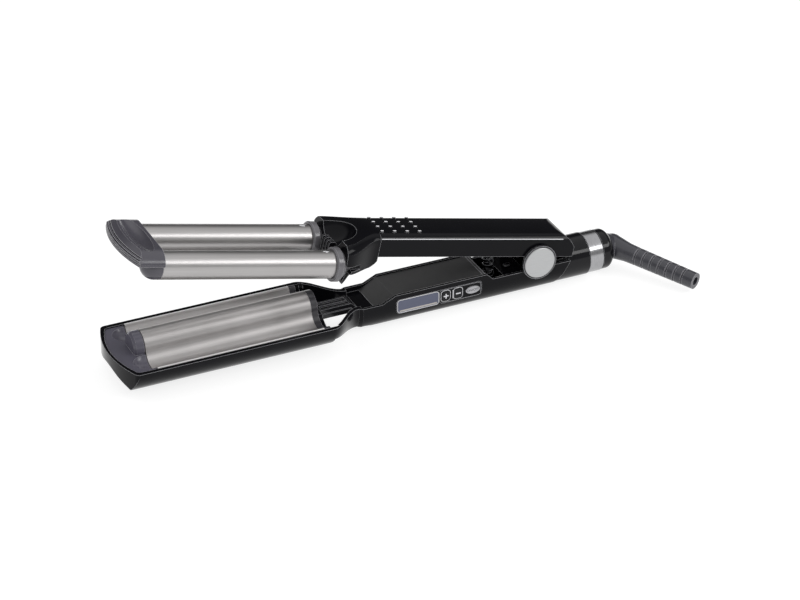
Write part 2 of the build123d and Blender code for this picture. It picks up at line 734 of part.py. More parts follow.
core_front = plate_front + CORE_INSET
core_rear = plate_rear - CORE_REAR_INSET
ceramic_front = (core_front + core_rear - CERAMIC_LENGTH) / 2
ceramic_rear = ceramic_front + CERAMIC_LENGTH
slot_half = CERAMIC_WIDTH / 2 + FIT
slot_rise = CERAMIC_THICKNESS / 2 + FIT

with BuildPart() as ridge_core:
    rod(BASE, core_front, core_rear, 0, -RIDGE_DROP, ridge_r - PLATE_THICKNESS - CORE_GAP)
    block(BASE, (core_front, core_rear), (-ridge_r, ridge_r), (-2 * ridge_r, -CORE_FLAT), Mode.SUBTRACT)
    block(
        BASE,
        (ceramic_front - FIT, ceramic_rear + FIT),
        (-slot_half, slot_half),
        (-RIDGE_DROP - slot_rise, slot_rise - RIDGE_DROP),
        Mode.SUBTRACT,
    )

ridge_core.part.label = "ridge_core"
export_step(ridge_core.part, "parts/ridge_core.step")

with BuildPart() as ridge_ceramic:
    block(
        BASE,
        (ceramic_front, ceramic_rear),
        (-CERAMIC_WIDTH / 2, CERAMIC_WIDTH / 2),
        (-RIDGE_DROP - CERAMIC_THICKNESS / 2, CERAMIC_THICKNESS / 2 - RIDGE_DROP),
    )

ridge_ceramic.part.label = "ridge_ceramic"
export_step(ridge_ceramic.part, "parts/ridge_ceramic.step")

with BuildPart() as thermal_fuse:
    fuse_x = plate_front + FUSE_INSET
    rod(BASE, fuse_x, fuse_x + FUSE_LENGTH, 0, -CORE_FLAT - FUSE_D / 2 - FIT, FUSE_D / 2)

thermal_fuse.part.label = "thermal_fuse"
export_step(thermal_fuse.part, "parts/thermal_fuse.step")

# ---------------------------------------------------------------- lower tip cap
with BuildPart() as lower_tip_cap:
    with BuildSketch(on(BASE, Plane.XY.offset(-CAP_FLOOR))):
        nose_face(RIM_WIDTH + FIT, SHELL_WALL + FIT, plate_front - PLATE_JOINT)
    extrude(amount=CAP_FLOOR - CAP_SHOULDER + FIT)
    with BuildSketch(on(BASE, Plane.XY.offset(-CAP_FLOOR))):
        nose_face(RIM_WIDTH + CAP_STEP + FIT, SHELL_WALL + CAP_STEP + FIT, plate_front - PLATE_JOINT)
    extrude(amount=CAP_FLOOR - POCKET_DEPTH + FIT)
    stub_x = plate_front - STUB_LENGTH + STUB_BEVEL
    rod(BASE, stub_x, plate_front - PLATE_JOINT, 0, -RIDGE_DROP, ridge_r)
    taper(BASE, stub_x, stub_x - STUB_BEVEL, 0, -RIDGE_DROP, ridge_r, ridge_r - STUB_BEVEL)
    for side in (-half_pitch, half_pitch):
        rod(BASE, dome_x, plate_front, side, 0, channel_r, Mode.SUBTRACT)
        ball(BASE, dome_x, side, 0, channel_r, Mode.SUBTRACT)

lower_tip_cap.part.label = "lower_tip_cap"
export_step(lower_tip_cap.part, "parts/lower_tip_cap.step")

# ---------------------------------------------------------------- spine bridge over the open neck
with BuildPart() as spine_bridge:
    spine_front = opening_front + FIT
    spine_rear = handle_front - FIT
    slope_x = spine_rear - SPINE_SLOPE
    with BuildSketch(on(BASE, Plane.XZ.offset(-SPINE_WIDTH / 2))):
        with BuildLine():
            Polyline(
                (spine_front, -SPINE_TOP),
                (slope_x, -SPINE_TOP),
                (spine_rear, -STEP_FLOOR),
                (spine_rear, -SPINE_BOTTOM),
                (spine_front, -SPINE_BOTTOM),
                close=True,
            )
        make_face()
    extrude(amount=SPINE_WIDTH)
    foot_half = SPINE_FOOT_WIDTH / 2
    block(BASE, (spine_front, slope_x), (-foot_half, foot_half), (-SPINE_BOTTOM, -SPINE_STEP))
    # channel between two rails, with a low rib along its middle
    channel_span = (spine_front + SPINE_RAIL, slope_x - SPINE_RAIL)
    channel_half = SPINE_WIDTH / 2 - SPINE_RAIL
    for channel_y in ((-channel_half, -SPINE_RIB / 2), (SPINE_RIB / 2, channel_half)):
        block(BASE, channel_span, channel_y, (-SPINE_TOP - SPINE_CHANNEL, 0), Mode.SUBTRACT)

spine_bridge.part.label = "spine_bridge"
export_step(spine_bridge.part, "parts/spine_bridge.step")

# ---------------------------------------------------------------- control panel in the near side
panel_face = handle_half + PANEL_PROUD
panel_back = panel_face - PANEL_THICKNESS
minus_x = PLUS_X + KEY_PITCH
key_back = panel_back - FIT - KEY_FLANGE_THICKNESS
switch_face = key_back - KEY_TRAVEL - SWITCH_GAP
board_face = switch_face - SWITCH_THICKNESS

with BuildPart() as control_fascia:
    panel_slab(panel_back, panel_face, 0)
    side_slab(
        WINDOW_X,
        PANEL_Z,
        WINDOW_LENGTH + 2 * FIT,
        WINDOW_HEIGHT + 2 * FIT,
        WINDOW_CORNER,
        0,
        HANDLE_WIDTH,
        Mode.SUBTRACT,
    )
    for key_x in (PLUS_X, minus_x):
        side_slab(
            key_x,
            KEY_Z,
            KEY_LENGTH + 2 * KEY_CLEARANCE,
            KEY_HEIGHT + 2 * KEY_CLEARANCE,
            KEY_CORNER,
            0,
            HANDLE_WIDTH,
            Mode.SUBTRACT,
        )
    oval_slab(
        POWER_X,
        KEY_Z,
        POWER_LENGTH + 2 * KEY_CLEARANCE,
        POWER_HEIGHT + 2 * KEY_CLEARANCE,
        0,
        HANDLE_WIDTH,
        Mode.SUBTRACT,
    )

control_fascia.part.label = "control_fascia"
export_step(control_fascia.part, "parts/control_fascia.step")

with BuildPart() as display_window:
    window_face = panel_face + WINDOW_PROUD
    window_back = window_face - WINDOW_THICKNESS
    side_slab(WINDOW_X, PANEL_Z, WINDOW_LENGTH, WINDOW_HEIGHT, WINDOW_CORNER, window_back, window_face)

display_window.part.label = "display_window"
export_step(display_window.part, "parts/display_window.step")

with BuildPart() as display_module:
    module_face = panel_back - FIT
    side_slab(
        WINDOW_X,
        PANEL_Z,
        MODULE_LENGTH,
        MODULE_HEIGHT,
        WINDOW_CORNER / 2,
        module_face - MODULE_THICKNESS + SWITCH_GAP,
        module_face,
    )

display_module.part.label = "display_module"
export_step(display_module.part, "parts/display_module.step")

with BuildPart() as plus_button:
    side_slab(PLUS_X, KEY_Z, KEY_LENGTH, KEY_HEIGHT, KEY_CORNER, key_back, panel_face + KEY_PROUD)
    side_slab(
        PLUS_X,
        KEY_Z,
        KEY_LENGTH + 2 * KEY_FLANGE,
        KEY_HEIGHT + 2 * KEY_FLANGE,
        KEY_CORNER,
        key_back,
        key_back + KEY_FLANGE_THICKNESS,
    )
    mark_foot = panel_face + KEY_PROUD - MARK_DEPTH
    mark_corner = MARK_WIDTH / 4
    side_slab(PLUS_X, KEY_Z, MARK_LENGTH, MARK_WIDTH, mark_corner, mark_foot, HANDLE_WIDTH, Mode.SUBTRACT)
    side_slab(PLUS_X, KEY_Z, MARK_WIDTH, MARK_LENGTH, mark_corner, mark_foot, HANDLE_WIDTH, Mode.SUBTRACT)

plus_button.part.label = "plus_button"
export_step(plus_button.part, "parts/plus_button.step")

with BuildPart() as minus_button:
    side_slab(minus_x, KEY_Z, KEY_LENGTH, KEY_HEIGHT, KEY_CORNER, key_back, panel_face + KEY_PROUD)
    side_slab(
        minus_x,
        KEY_Z,
        KEY_LENGTH + 2 * KEY_FLANGE,
        KEY_HEIGHT + 2 * KEY_FLANGE,
        KEY_CORNER,
        key_back,
        key_back + KEY_FLANGE_THICKNESS,
    )
    side_slab(minus_x, KEY_Z, MARK_LENGTH, MARK_WIDTH, mark_corner, mark_foot, HANDLE_WIDTH, Mode.SUBTRACT)

minus_button.part.label = "minus_button"
export_step(minus_button.part, "parts/minus_button.step")

with BuildPart() as power_button:
    flange_length = POWER_LENGTH + 2 * KEY_FLANGE
    flange_height = POWER_HEIGHT + 2 * KEY_FLANGE
    oval_slab(POWER_X, KEY_Z, POWER_LENGTH, POWER_HEIGHT, key_back, panel_face + KEY_PROUD)
    oval_slab(POWER_X, KEY_Z, flange_length, flange_height, key_back, key_back + KEY_FLANGE_THICKNESS)

power_button.part.label = "power_button"
export_step(power_button.part, "parts/power_button.step")

with BuildPart() as circuit_board:
    block(
        BASE,
        (ramp_top_x + BOARD_SETBACK, -BOARD_REACH),
        (-board_face, BOARD_THICKNESS - board_face),
        (-BOARD_BOTTOM, -BOARD_TOP),
    )

circuit_board.part.label = "circuit_board"
export_step(circuit_board.part, "parts/circuit_board.step")

with BuildPart() as tact_switches:
    for key_x in (PLUS_X, minus_x, POWER_X):
        side_slab(key_x, KEY_Z, SWITCH_SIZE, SWITCH_SIZE, SWITCH_SIZE / 8, board_face, switch_face)

tact_switches.part.label = "tact_switches"
export_step(tact_switches.part, "parts/tact_switches.step")

# ---------------------------------------------------------------- hinge
lug_outer = base_half - GRIP_WALL
lug_inner = lug_outer - LUG_THICKNESS

with BuildPart() as hinge_pin:
    axle(BASE, PIN_SETBACK - ear_outer, ear_outer - PIN_SETBACK, 0, 0, PIN_D / 2)

hinge_pin.part.label = "hinge_pin"
export_step(hinge_pin.part, "parts/hinge_pin.step")

with BuildPart() as hinge_sleeve:
    sleeve_half = lug_inner - LUG_GAP
    axle(BASE, -sleeve_half, sleeve_half, 0, 0, SLEEVE_D / 2)
    axle(BASE, -sleeve_half, sleeve_half, 0, 0, PIN_D / 2 + RUNNING_GAP, Mode.SUBTRACT)

hinge_sleeve.part.label = "hinge_sleeve"
export_step(hinge_sleeve.part, "parts/hinge_sleeve.step")

with BuildPart() as hinge_disc_near:
    axle(BASE, -ear_outer - DISC_THICKNESS, -ear_outer, 0, 0, DISC_D / 2)
    chamfer(hinge_disc_near.faces().sort_by(Axis.Y)[0].edges(), DISC_EDGE)

hinge_disc_near.part.label = "hinge_disc_near"
export_step(hinge_disc_near.part, "parts/hinge_disc_near.step")

with BuildPart() as hinge_disc_far:
    axle(BASE, ear_outer, ear_outer + DISC_THICKNESS, 0, 0, DISC_D / 2)
    chamfer(hinge_disc_far.faces().sort_by(Axis.Y)[-1].edges(), DISC_EDGE)

hinge_disc_far.part.label = "hinge_disc_far"
export_step(hinge_disc_far.part, "parts/hinge_disc_far.step")

with BuildPart() as hinge_bezel_near:
    axle(BASE, -ear_outer - BEZEL_THICKNESS, -ear_outer, 0, 0, EAR_D / 2)
    axle(BASE, -HANDLE_WIDTH, 0, 0, 0, DISC_D / 2 + FIT, Mode.SUBTRACT)

hinge_bezel_near.part.label = "hinge_bezel_near"
export_step(hinge_bezel_near.part, "parts/hinge_bezel_near.step")

with BuildPart() as hinge_bezel_far:
    axle(BASE, ear_outer, ear_outer + BEZEL_THICKNESS, 0, 0, EAR_D / 2)
    axle(BASE, 0, HANDLE_WIDTH, 0, 0, DISC_D / 2 + FIT, Mode.SUBTRACT)

hinge_bezel_far.part.label = "hinge_bezel_far"
export_step(hinge_bezel_far.part, "parts/hinge_bezel_far.step")

with BuildPart() as arm_spring:
    # the free end meets the sloping underside of the upper arm
    spring_top = (SPRING_REACH - SPRING_D / 2) * sin(opening_angle) + GRIP_BASE * cos(opening_angle)
    coil_height = SPRING_SEAT + spring_top - SPRING_WIRE
    coil_foot = HINGE_HEIGHT - SPRING_SEAT + SPRING_WIRE / 2
    coil_r = (SPRING_D - SPRING_WIRE) / 2
    with BuildLine() as coil:
        Helix(coil_height / SPRING_TURNS, coil_height, coil_r, (-SPRING_REACH, 0, coil_foot))
    with BuildSketch(Plane(origin=coil.line @ 0, z_dir=coil.line % 0)):
        RegularPolygon(SPRING_WIRE / 2, WIRE_FACETS)
    sweep(path=coil.line, is_frenet=True)

arm_spring.part.label = "arm_spring"
export_step(arm_spring.part, "parts/arm_spring.step")

# ---------------------------------------------------------------- cord swivel
ring_end = SWIVEL_REACH + RING_LENGTH
cone_front = ring_end + CONE_GAP
cone_end = cone_front + CONE_LENGTH
land_front = ring_end - JOURNAL_LENGTH
clip_rear = land_front - CLIP_GAP
clip_front = clip_rear - CLIP_THICKNESS
journal_r = JOURNAL_D / 2
cord_r = CORD_BORE_D / 2
clip_seat_r = journal_r - CLIP_GROOVE
stem_front = cone_end - STEM_LENGTH

with BuildPart() as swivel_collar:
    rod(SWIVEL, 0, SWIVEL_REACH, 0, 0, SWIVEL_D / 2)
    # front face parallel to the raked rear edge of the handle
    rake_top_x = TAIL_REACH + FIT + (WELL_RIM + HINGE_HEIGHT) * rake_slope
    rake_foot_x = TAIL_REACH + FIT - (2 * HINGE_HEIGHT - WELL_RIM) * rake_slope
    with BuildSketch(on(BASE, Plane.XZ)):
        with BuildLine():
            Polyline(
                (rake_top_x, HINGE_HEIGHT),
                (rake_foot_x, -2 * HINGE_HEIGHT),
                (-HINGE_HEIGHT, -2 * HINGE_HEIGHT),
                (-HINGE_HEIGHT, HINGE_HEIGHT),
                close=True,
            )
        make_face()
    extrude(amount=HINGE_HEIGHT, both=True, mode=Mode.SUBTRACT)
    rod(SWIVEL, PLUG_REACH, SWIVEL_REACH, 0, 0, PLUG_D / 2)
    # the plug stays below the rim, clear of the upper arm
    with BuildSketch(on(BASE, Plane.XZ)):
        with BuildLine():
            Polyline(
                (TAIL_REACH + FIT, -WELL_RIM),
                (rake_top_x, HINGE_HEIGHT),
                (0, HINGE_HEIGHT),
                (0, -WELL_RIM),
                close=True,
            )
        make_face()
    extrude(amount=HINGE_HEIGHT, both=True, mode=Mode.SUBTRACT)
    rod(SWIVEL, SWIVEL_REACH, ring_end, 0, 0, RING_BORE_D / 2 - FIT)
    rod(SWIVEL, 0, land_front, 0, 0, CLIP_D / 2 + CLIP_ROOM, Mode.SUBTRACT)
    rod(SWIVEL, 0, ring_end, 0, 0, journal_r + RUNNING_GAP, Mode.SUBTRACT)

swivel_collar.part.label = "swivel_collar"
export_step(swivel_collar.part, "parts/swivel_collar.step")

with BuildPart() as collar_ring:
    rod(SWIVEL, SWIVEL_REACH + FIT, ring_end, 0, 0, RING_D / 2)
    chamfer(collar_ring.edges().filter_by(GeomType.CIRCLE), RING_CHAMFER)
    rod(SWIVEL, 0, ring_end, 0, 0, RING_BORE_D / 2, Mode.SUBTRACT)

collar_ring.part.label = "collar_ring"
export_step(collar_ring.part, "parts/collar_ring.step")

with BuildPart() as swivel_cone:
    with BuildSketch(on(SWIVEL, Plane.XZ)):
        with BuildLine():
            Polyline(
                (clip_front - JOURNAL_TAIL, cord_r),
                (clip_front - JOURNAL_TAIL, journal_r),
                (clip_front - RUNNING_GAP, journal_r),
                (clip_front - RUNNING_GAP, clip_seat_r),
                (clip_rear + RUNNING_GAP, clip_seat_r),
                (clip_rear + RUNNING_GAP, journal_r),
                (cone_front, journal_r),
                (cone_front, CONE_ROOT_D / 2),
                (cone_front + CONE_STRAIGHT, CONE_ROOT_D / 2),
            )
            Spline(
                (cone_front + CONE_STRAIGHT, CONE_ROOT_D / 2),
                (cone_end, CONE_END_D / 2),
                tangents=((1, 0), (1, -1)),
            )
            Polyline(
                (cone_end, CONE_END_D / 2),
                (cone_end, STEM_D / 2 + FIT),
                (stem_front - FIT, STEM_D / 2 + FIT),
                (stem_front - FIT, cord_r),
                (clip_front - JOURNAL_TAIL, cord_r),
            )
        make_face()
    revolve(axis=axis_x(SWIVEL, 0, 0))

swivel_cone.part.label = "swivel_cone"
export_step(swivel_cone.part, "parts/swivel_cone.step")

with BuildPart() as swivel_clip:
    rod(SWIVEL, clip_front, clip_rear, 0, 0, CLIP_D / 2)
    rod(SWIVEL, clip_front, clip_rear, 0, 0, clip_seat_r + RUNNING_GAP, Mode.SUBTRACT)
    block(SWIVEL, (clip_front, clip_rear), (-CLIP_MOUTH / 2, CLIP_MOUTH / 2), (0, CLIP_D), Mode.SUBTRACT)

swivel_clip.part.label = "swivel_clip"
export_step(swivel_clip.part, "parts/swivel_clip.step")

knee = Vector(cone_end + KNEE_REACH, 0, HINGE_HEIGHT - SWIVEL_DROP)
boot_azimuth = radians(BOOT_AZIMUTH)
boot_dip = radians(BOOT_DIP)
boot_dir = Vector(cos(boot_dip) * cos(boot_azimuth), cos(boot_dip) * sin(boot_azimuth), -sin(boot_dip))
boot_plane = Plane(origin=knee, x_dir=boot_dir, z_dir=boot_dir.cross(Vector(0, 0, 1)))

with BuildPart() as cord_boot:
    ball(SWIVEL, cone_end + KNEE_REACH, 0, 0, KNEE_D / 2)
    # ribbed sleeve along the cord
    with BuildSketch(boot_plane):
        with BuildLine():
            boot_profile = [(0, 0), (0, KNEE_D / 2), (KNEE_TAIL, BOOT_ROOT_D / 2)]
            for rib in range(BOOT_RIBS):
                groove_start = BOOT_RIB_START + rib * BOOT_RIB_PITCH
                for groove_x, sink in ((0, 0), (0, 1), (BOOT_GROOVE, 1), (BOOT_GROOVE, 0)):
                    boot_x = groove_start + groove_x
                    boot_r = BOOT_ROOT_D / 2 + (BOOT_TIP_D - BOOT_ROOT_D) / 2 * boot_x / BOOT_LENGTH
                    boot_profile.append((boot_x, boot_r - sink * BOOT_GROOVE_DEPTH))
            Polyline(*boot_profile, (BOOT_LENGTH, BOOT_TIP_D / 2), (BOOT_LENGTH, 0), close=True)
        make_face()
    revolve(axis=Axis(knee, boot_dir))
    # flared root and stem inside the cone
    block(
        SWIVEL,
        (stem_front - KNEE_D, cone_end + RUNNING_GAP),
        (-KNEE_D, KNEE_D),
        (-KNEE_D, KNEE_D),
        Mode.SUBTRACT,
    )
    taper(SWIVEL, cone_end + RUNNING_GAP, cone_end + KNEE_REACH, 0, 0, KNEE_ROOT_D / 2, KNEE_D / 2)
    rod(SWIVEL, stem_front, cone_end + KNEE_REACH, 0, 0, STEM_D / 2)
    # open way for the cord
    rod(SWIVEL, stem_front, cone_end + KNEE_REACH, 0, 0, cord_r, Mode.SUBTRACT)
    ball(SWIVEL, cone_end + KNEE_REACH, 0, 0, cord_r, Mode.SUBTRACT)
    with BuildSketch(Plane(origin=knee, z_dir=boot_dir)):
        Circle(cord_r)
    extrude(amount=BOOT_LENGTH, mode=Mode.SUBTRACT)

cord_boot.part.label = "cord_boot"
export_step(cord_boot.part, "parts/cord_boot.step")

# ---------------------------------------------------------------- upper shell
ridge_half = handle_half - GRIP_RIDGE_INSET
flat_half = GRIP_FLAT_WIDTH / 2
stud_columns = [fork_root + STUD_START + step * STUD_PITCH_X for step in range(STUD_COLUMNS)]
stud_rows = [(step - (STUD_ROWS - 1) / 2) * STUD_PITCH_Y for step in range(STUD_ROWS)]
upper_cover_top = GRIP_BASE + COVER_THICKNESS

with BuildPart() as upper_shell:
    # grip and flared fork
    with BuildSketch(on(ARM, Plane.YZ.offset(fork_root))):
        grip_face(ridge_half, GRIP_RIDGE_HEIGHT, flat_half, GRIP_TOP, base_half, GRIP_BASE)
    extrude(amount=GRIP_REACH - fork_root)
    for station in range(FORK_STATIONS + 1):
        share = station / FORK_STATIONS
        with BuildSketch(on(ARM, Plane.YZ.offset(fork_root - share * FORK_LENGTH))):
            grip_face(
                blend(ridge_half + FORK_STEP, FORK_WIDTH / 2, share),
                blend(GRIP_RIDGE_HEIGHT, FORK_RIDGE_HEIGHT, share),
                blend(flat_half, FORK_FLAT_WIDTH / 2, share),
                blend(GRIP_TOP, FORK_TOP, share),
                blend(base_half + FORK_STEP, FORK_FLANK_WIDTH / 2, share),
                -FORK_SKIRT,
            )
    loft()
    # rounded knuckle where the fork drops below the grip
    with BuildSketch(on(ARM, Plane.XZ)):
        knuckle_x = fork_root - KNUCKLE_LENGTH
        knuckle_z = GRIP_BASE - KNUCKLE_EASE
        knuckle_foot = -FORK_SKIRT - KNUCKLE_EASE
        with BuildLine():
            EllipticalCenterArc(
                (knuckle_x, knuckle_z),
                KNUCKLE_LENGTH + KNUCKLE_EASE,
                knuckle_z - knuckle_foot,
                -QUARTER_TURN,
                arc_size=QUARTER_TURN,
            )
            Polyline(
                (fork_root + KNUCKLE_EASE, knuckle_z),
                (fork_root + KNUCKLE_EASE, knuckle_foot),
                (knuckle_x, knuckle_foot),
            )
        make_face()
    extrude(amount=TRAY_WIDTH, both=True, mode=Mode.SUBTRACT)
    # rear end curves down over the hinge
    crown_z = GRIP_TOP + GRIP_CROWN
    with BuildSketch(on(ARM, Plane.XZ)):
        with BuildLine():
            Spline(
                (GRIP_TAIL, crown_z),
                (TAIL_MID_X, TAIL_MID_Z),
                (TAIL_LOW_X, TAIL_LOW_Z),
                (GRIP_REACH, GRIP_BASE),
                tangents=((1, 0), (GRIP_REACH - TAIL_LOW_X, GRIP_BASE - TAIL_LOW_Z)),
            )
            Polyline(
                (GRIP_REACH, GRIP_BASE),
                (GRIP_REACH + crown_z, GRIP_BASE),
                (GRIP_REACH + crown_z, 2 * crown_z),
                (GRIP_TAIL, 2 * crown_z),
                (GRIP_TAIL, crown_z),
            )
        make_face()
    extrude(amount=2 * base_half, both=True, mode=Mode.SUBTRACT)
    # hollow of the grip
    with BuildSketch(on(ARM, Plane.YZ.offset(grip_room))):
        grip_face(
            ridge_half - GRIP_WALL,
            GRIP_RIDGE_HEIGHT - GRIP_WALL,
            flat_half - GRIP_WALL,
            GRIP_TOP - GRIP_WALL,
            lug_outer,
            0,
        )
    extrude(amount=GRIP_TAIL - grip_room, mode=Mode.SUBTRACT)
    tail_room = (0, TAIL_ROOM)
    block(ARM, tail_room, (-lug_outer, lug_outer), (0, GRIP_RIDGE_HEIGHT / 2), Mode.SUBTRACT)
    # legs that reach down into the open neck
    with BuildSketch(on(ARM, Plane.XY.offset(-LEG_DEPTH_FRONT))):
        neck_face(ARM_WALL + NECK_GAP, fork_front, handle_front - LEG_CLEARANCE)
    extrude(amount=LEG_DEPTH_FRONT)
    with BuildSketch(on(ARM, Plane.XZ)):
        with BuildLine():
            Polyline(
                (fork_front, -LEG_DEPTH_FRONT),
                (handle_front - LEG_CLEARANCE, -LEG_DEPTH),
                (handle_front, -2 * LEG_DEPTH_FRONT),
                (fork_front, -2 * LEG_DEPTH_FRONT),
                close=True,
            )
        make_face()
    extrude(amount=TRAY_WIDTH, both=True, mode=Mode.SUBTRACT)
    valley_half = SPINE_FOOT_WIDTH / 2 + VALLEY_GAP
    block(
        ARM,
        (fork_front, handle_front),
        (-valley_half, valley_half),
        (-2 * LEG_DEPTH_FRONT, -VALLEY_ROOF),
        Mode.SUBTRACT,
    )
    # recess in each flank, under a bar and over a slanted brace
    for slot_y in (FORK_SLOT_Y, -FORK_SLOT_Y):
        with BuildSketch(on(ARM, Plane.XZ.offset(slot_y))):
            with BuildLine():
                Polyline(
                    (fork_front, FORK_SLOT_TOP),
                    (fork_front + FORK_SLOT_LENGTH, FORK_SLOT_TOP),
                    (fork_front + FORK_SLOT_LENGTH, -FORK_SLOT_FLOOR),
                    (fork_front + FORK_SLOT_KINK, -FORK_SLOT_FLOOR),
                    (fork_front, -FORK_SLOT_FOOT),
                    close=True,
                )
            make_face()
        extrude(amount=slot_y, mode=Mode.SUBTRACT)
    # scoop between the barrel roots
    scoop_z = SCOOP_FLOOR + SCOOP_RADIUS
    scoop_x = fork_front - SCOOP_AHEAD
    with BuildSketch(on(ARM, Plane.XZ)):
        with BuildLine():
            EllipticalCenterArc(
                (scoop_x, scoop_z), SCOOP_LENGTH, SCOOP_RADIUS, HALF_TURN, arc_size=HALF_TURN
            )
            Line((scoop_x - SCOOP_LENGTH, scoop_z), (scoop_x + SCOOP_LENGTH, scoop_z))
        make_face()
    revolve(axis=axis_x(ARM, 0, scoop_z), mode=Mode.SUBTRACT)
    # fins on the front of the fork
    for fin in range(FIN_COUNT):
        fin_y = (fin - (FIN_COUNT - 1) / 2) * FIN_PITCH + FIN_WIDTH / 2
        with BuildSketch(on(ARM, Plane.XZ.offset(-fin_y))):
            with Locations((fork_front + FIN_ROOT - FIN_LENGTH / 2, (FIN_TOP - FIN_FOOT) / 2)):
                RectangleRounded(FIN_LENGTH, FIN_TOP + FIN_FOOT, FIN_ROUND)
        extrude(amount=FIN_WIDTH)
    # sockets of the barrel collars
    for side in (-half_pitch, half_pitch):
        rod(ARM, fork_front, fork_front + SPIGOT_LENGTH + FIT, side, 0, SPIGOT_D / 2 + FIT, Mode.SUBTRACT)
    # stud sockets and screw bosses
    with BuildSketch(on(ARM, Plane.XY.offset(GRIP_TOP - STUD_ROOT - FIT))):
        with Locations([(stud_x, stud_y) for stud_x in stud_columns for stud_y in stud_rows]):
            SlotOverall(STUD_LENGTH + 2 * STUD_FIT, STUD_WIDTH + 2 * STUD_FIT)
    extrude(amount=GRIP_TOP, mode=Mode.SUBTRACT)
    for screw_x in cover_screw_xs:
        post(ARM, upper_cover_top + FIT, GRIP_TOP - GRIP_WALL / 2, screw_x, 0, SCREW_BOSS_D / 2)
        post(ARM, 0, upper_cover_top + SCREW_DEPTH + FIT, screw_x, 0, SCREW_D / 2 + SCREW_GAP, Mode.SUBTRACT)

upper_shell.part.label = "upper_shell"
export_step(upper_shell.part, "parts/upper_shell.step")

with BuildPart() as grip_studs:
    with BuildSketch(on(ARM, Plane.XY.offset(GRIP_TOP - STUD_ROOT))):
        with Locations([(stud_x, stud_y) for stud_x in stud_columns for stud_y in stud_rows]):
            SlotOverall(STUD_LENGTH, STUD_WIDTH)
    extrude(amount=STUD_ROOT + GRIP_CROWN + STUD_HEIGHT)

grip_studs.part.label = "grip_studs"
export_step(grip_studs.part, "parts/grip_studs.step")

with BuildPart() as upper_cover:
    block(
        ARM,
        (grip_room + FIT, TAIL_ROOM - FIT),
        (COVER_GAP - lug_outer, lug_outer - COVER_GAP),
        (GRIP_BASE, upper_cover_top),
    )
    sleeve_room = SLEEVE_D / 2 + SLEEVE_GAP
    axle(ARM, -lug_inner, lug_inner, 0, 0, sleeve_room, Mode.SUBTRACT)
    for side in (-1, 1):
        axle(ARM, side * lug_inner, side * (lug_outer - COVER_GAP), 0, 0, LUG_D / 2)
    axle(ARM, -lug_outer, lug_outer, 0, 0, PIN_D / 2 + RUNNING_GAP, Mode.SUBTRACT)
    for screw_x in cover_screw_xs:
        post(ARM, GRIP_BASE, upper_cover_top, screw_x, 0, SCREW_D / 2 + FIT, Mode.SUBTRACT)
        post(ARM, GRIP_BASE, GRIP_BASE + SCREW_HEAD, screw_x, 0, SCREW_HEAD_D / 2 + FIT, Mode.SUBTRACT)

upper_cover.part.label = "upper_cover"
export_step(upper_cover.part, "parts/upper_cover.step")

with BuildPart() as cover_screws:
    for screw_x in cover_screw_xs:
        post(ARM, GRIP_BASE, GRIP_BASE + SCREW_HEAD, screw_x, 0, SCREW_HEAD_D / 2)
        post(ARM, GRIP_BASE + SCREW_HEAD, upper_cover_top + SCREW_DEPTH, screw_x, 0, SCREW_D / 2)

cover_screws.part.label = "cover_screws"
export_step(cover_screws.part, "parts/cover_screws.step")


# ---------------------------------------------------------------- barrels
def draw_barrel(side):
    """Tube of one barrel."""
    rod(ARM, plate_front + FIT, barrel_rear, side, 0, barrel_r)
    rod(ARM, plate_front, barrel_rear, side, 0, barrel_r - BARREL_WALL, Mode.SUBTRACT)


def draw_collar(side):
    """Root collar of one barrel, with the spigot that sits in the fork."""
    rod(ARM, collar_front + COLLAR_CHAMFER, collar_rear, side, 0, COLLAR_D / 2)
    rod(ARM, collar_rear, fork_front, side, 0, COLLAR_NECK_D / 2)
    taper(
        ARM,
        collar_front,
        collar_front + COLLAR_CHAMFER,
        side,
        0,
        COLLAR_D / 2 - COLLAR_CHAMFER,
        COLLAR_D / 2,
    )
    rod(ARM, fork_front, fork_front + SPIGOT_LENGTH, side, 0, SPIGOT_D / 2)
    rod(ARM, collar_front, barrel_rear + FIT, side, 0, barrel_r + FIT, Mode.SUBTRACT)


def draw_core(side):
    """Heater core of one barrel, split by the slot of its ceramic."""
    rod(ARM, core_front, core_rear, side, 0, barrel_r - BARREL_WALL - CORE_GAP)
    block(
        ARM,
        (ceramic_front - FIT, ceramic_rear + FIT),
        (side - slot_half, side + slot_half),
        (-slot_rise, slot_rise),
        Mode.SUBTRACT,
    )


def draw_ceramic(side):
    """Ceramic heater of one barrel."""
    block(
        ARM,
        (ceramic_front, ceramic_rear),
        (side - CERAMIC_WIDTH / 2, side + CERAMIC_WIDTH / 2),
        (-CERAMIC_THICKNESS / 2, CERAMIC_THICKNESS / 2),
    )


with BuildPart() as barrel_near:
    draw_barrel(-half_pitch)

barrel_near.part.label = "barrel_near"
export_step(barrel_near.part, "parts/barrel_near.step")

with BuildPart() as barrel_far:
    draw_barrel(half_pitch)

barrel_far.part.label = "barrel_far"
export_step(barrel_far.part, "parts/barrel_far.step")

with BuildPart() as barrel_collar_near:
    draw_collar(-half_pitch)

barrel_collar_near.part.label = "barrel_collar_near"
export_step(barrel_collar_near.part, "parts/barrel_collar_near.step")

with BuildPart() as barrel_collar_far:
    draw_collar(half_pitch)

barrel_collar_far.part.label = "barrel_collar_far"
export_step(barrel_collar_far.part, "parts/barrel_collar_far.step")

with BuildPart() as barrel_core_near:
    draw_core(-half_pitch)

barrel_core_near.part.label = "barrel_core_near"
export_step(barrel_core_near.part, "parts/barrel_core_near.step")

with BuildPart() as barrel_core_far:
    draw_core(half_pitch)

barrel_core_far.part.label = "barrel_core_far"
export_step(barrel_core_far.part, "parts/barrel_core_far.step")

with BuildPart() as barrel_ceramic_near:
    draw_ceramic(-half_pitch)

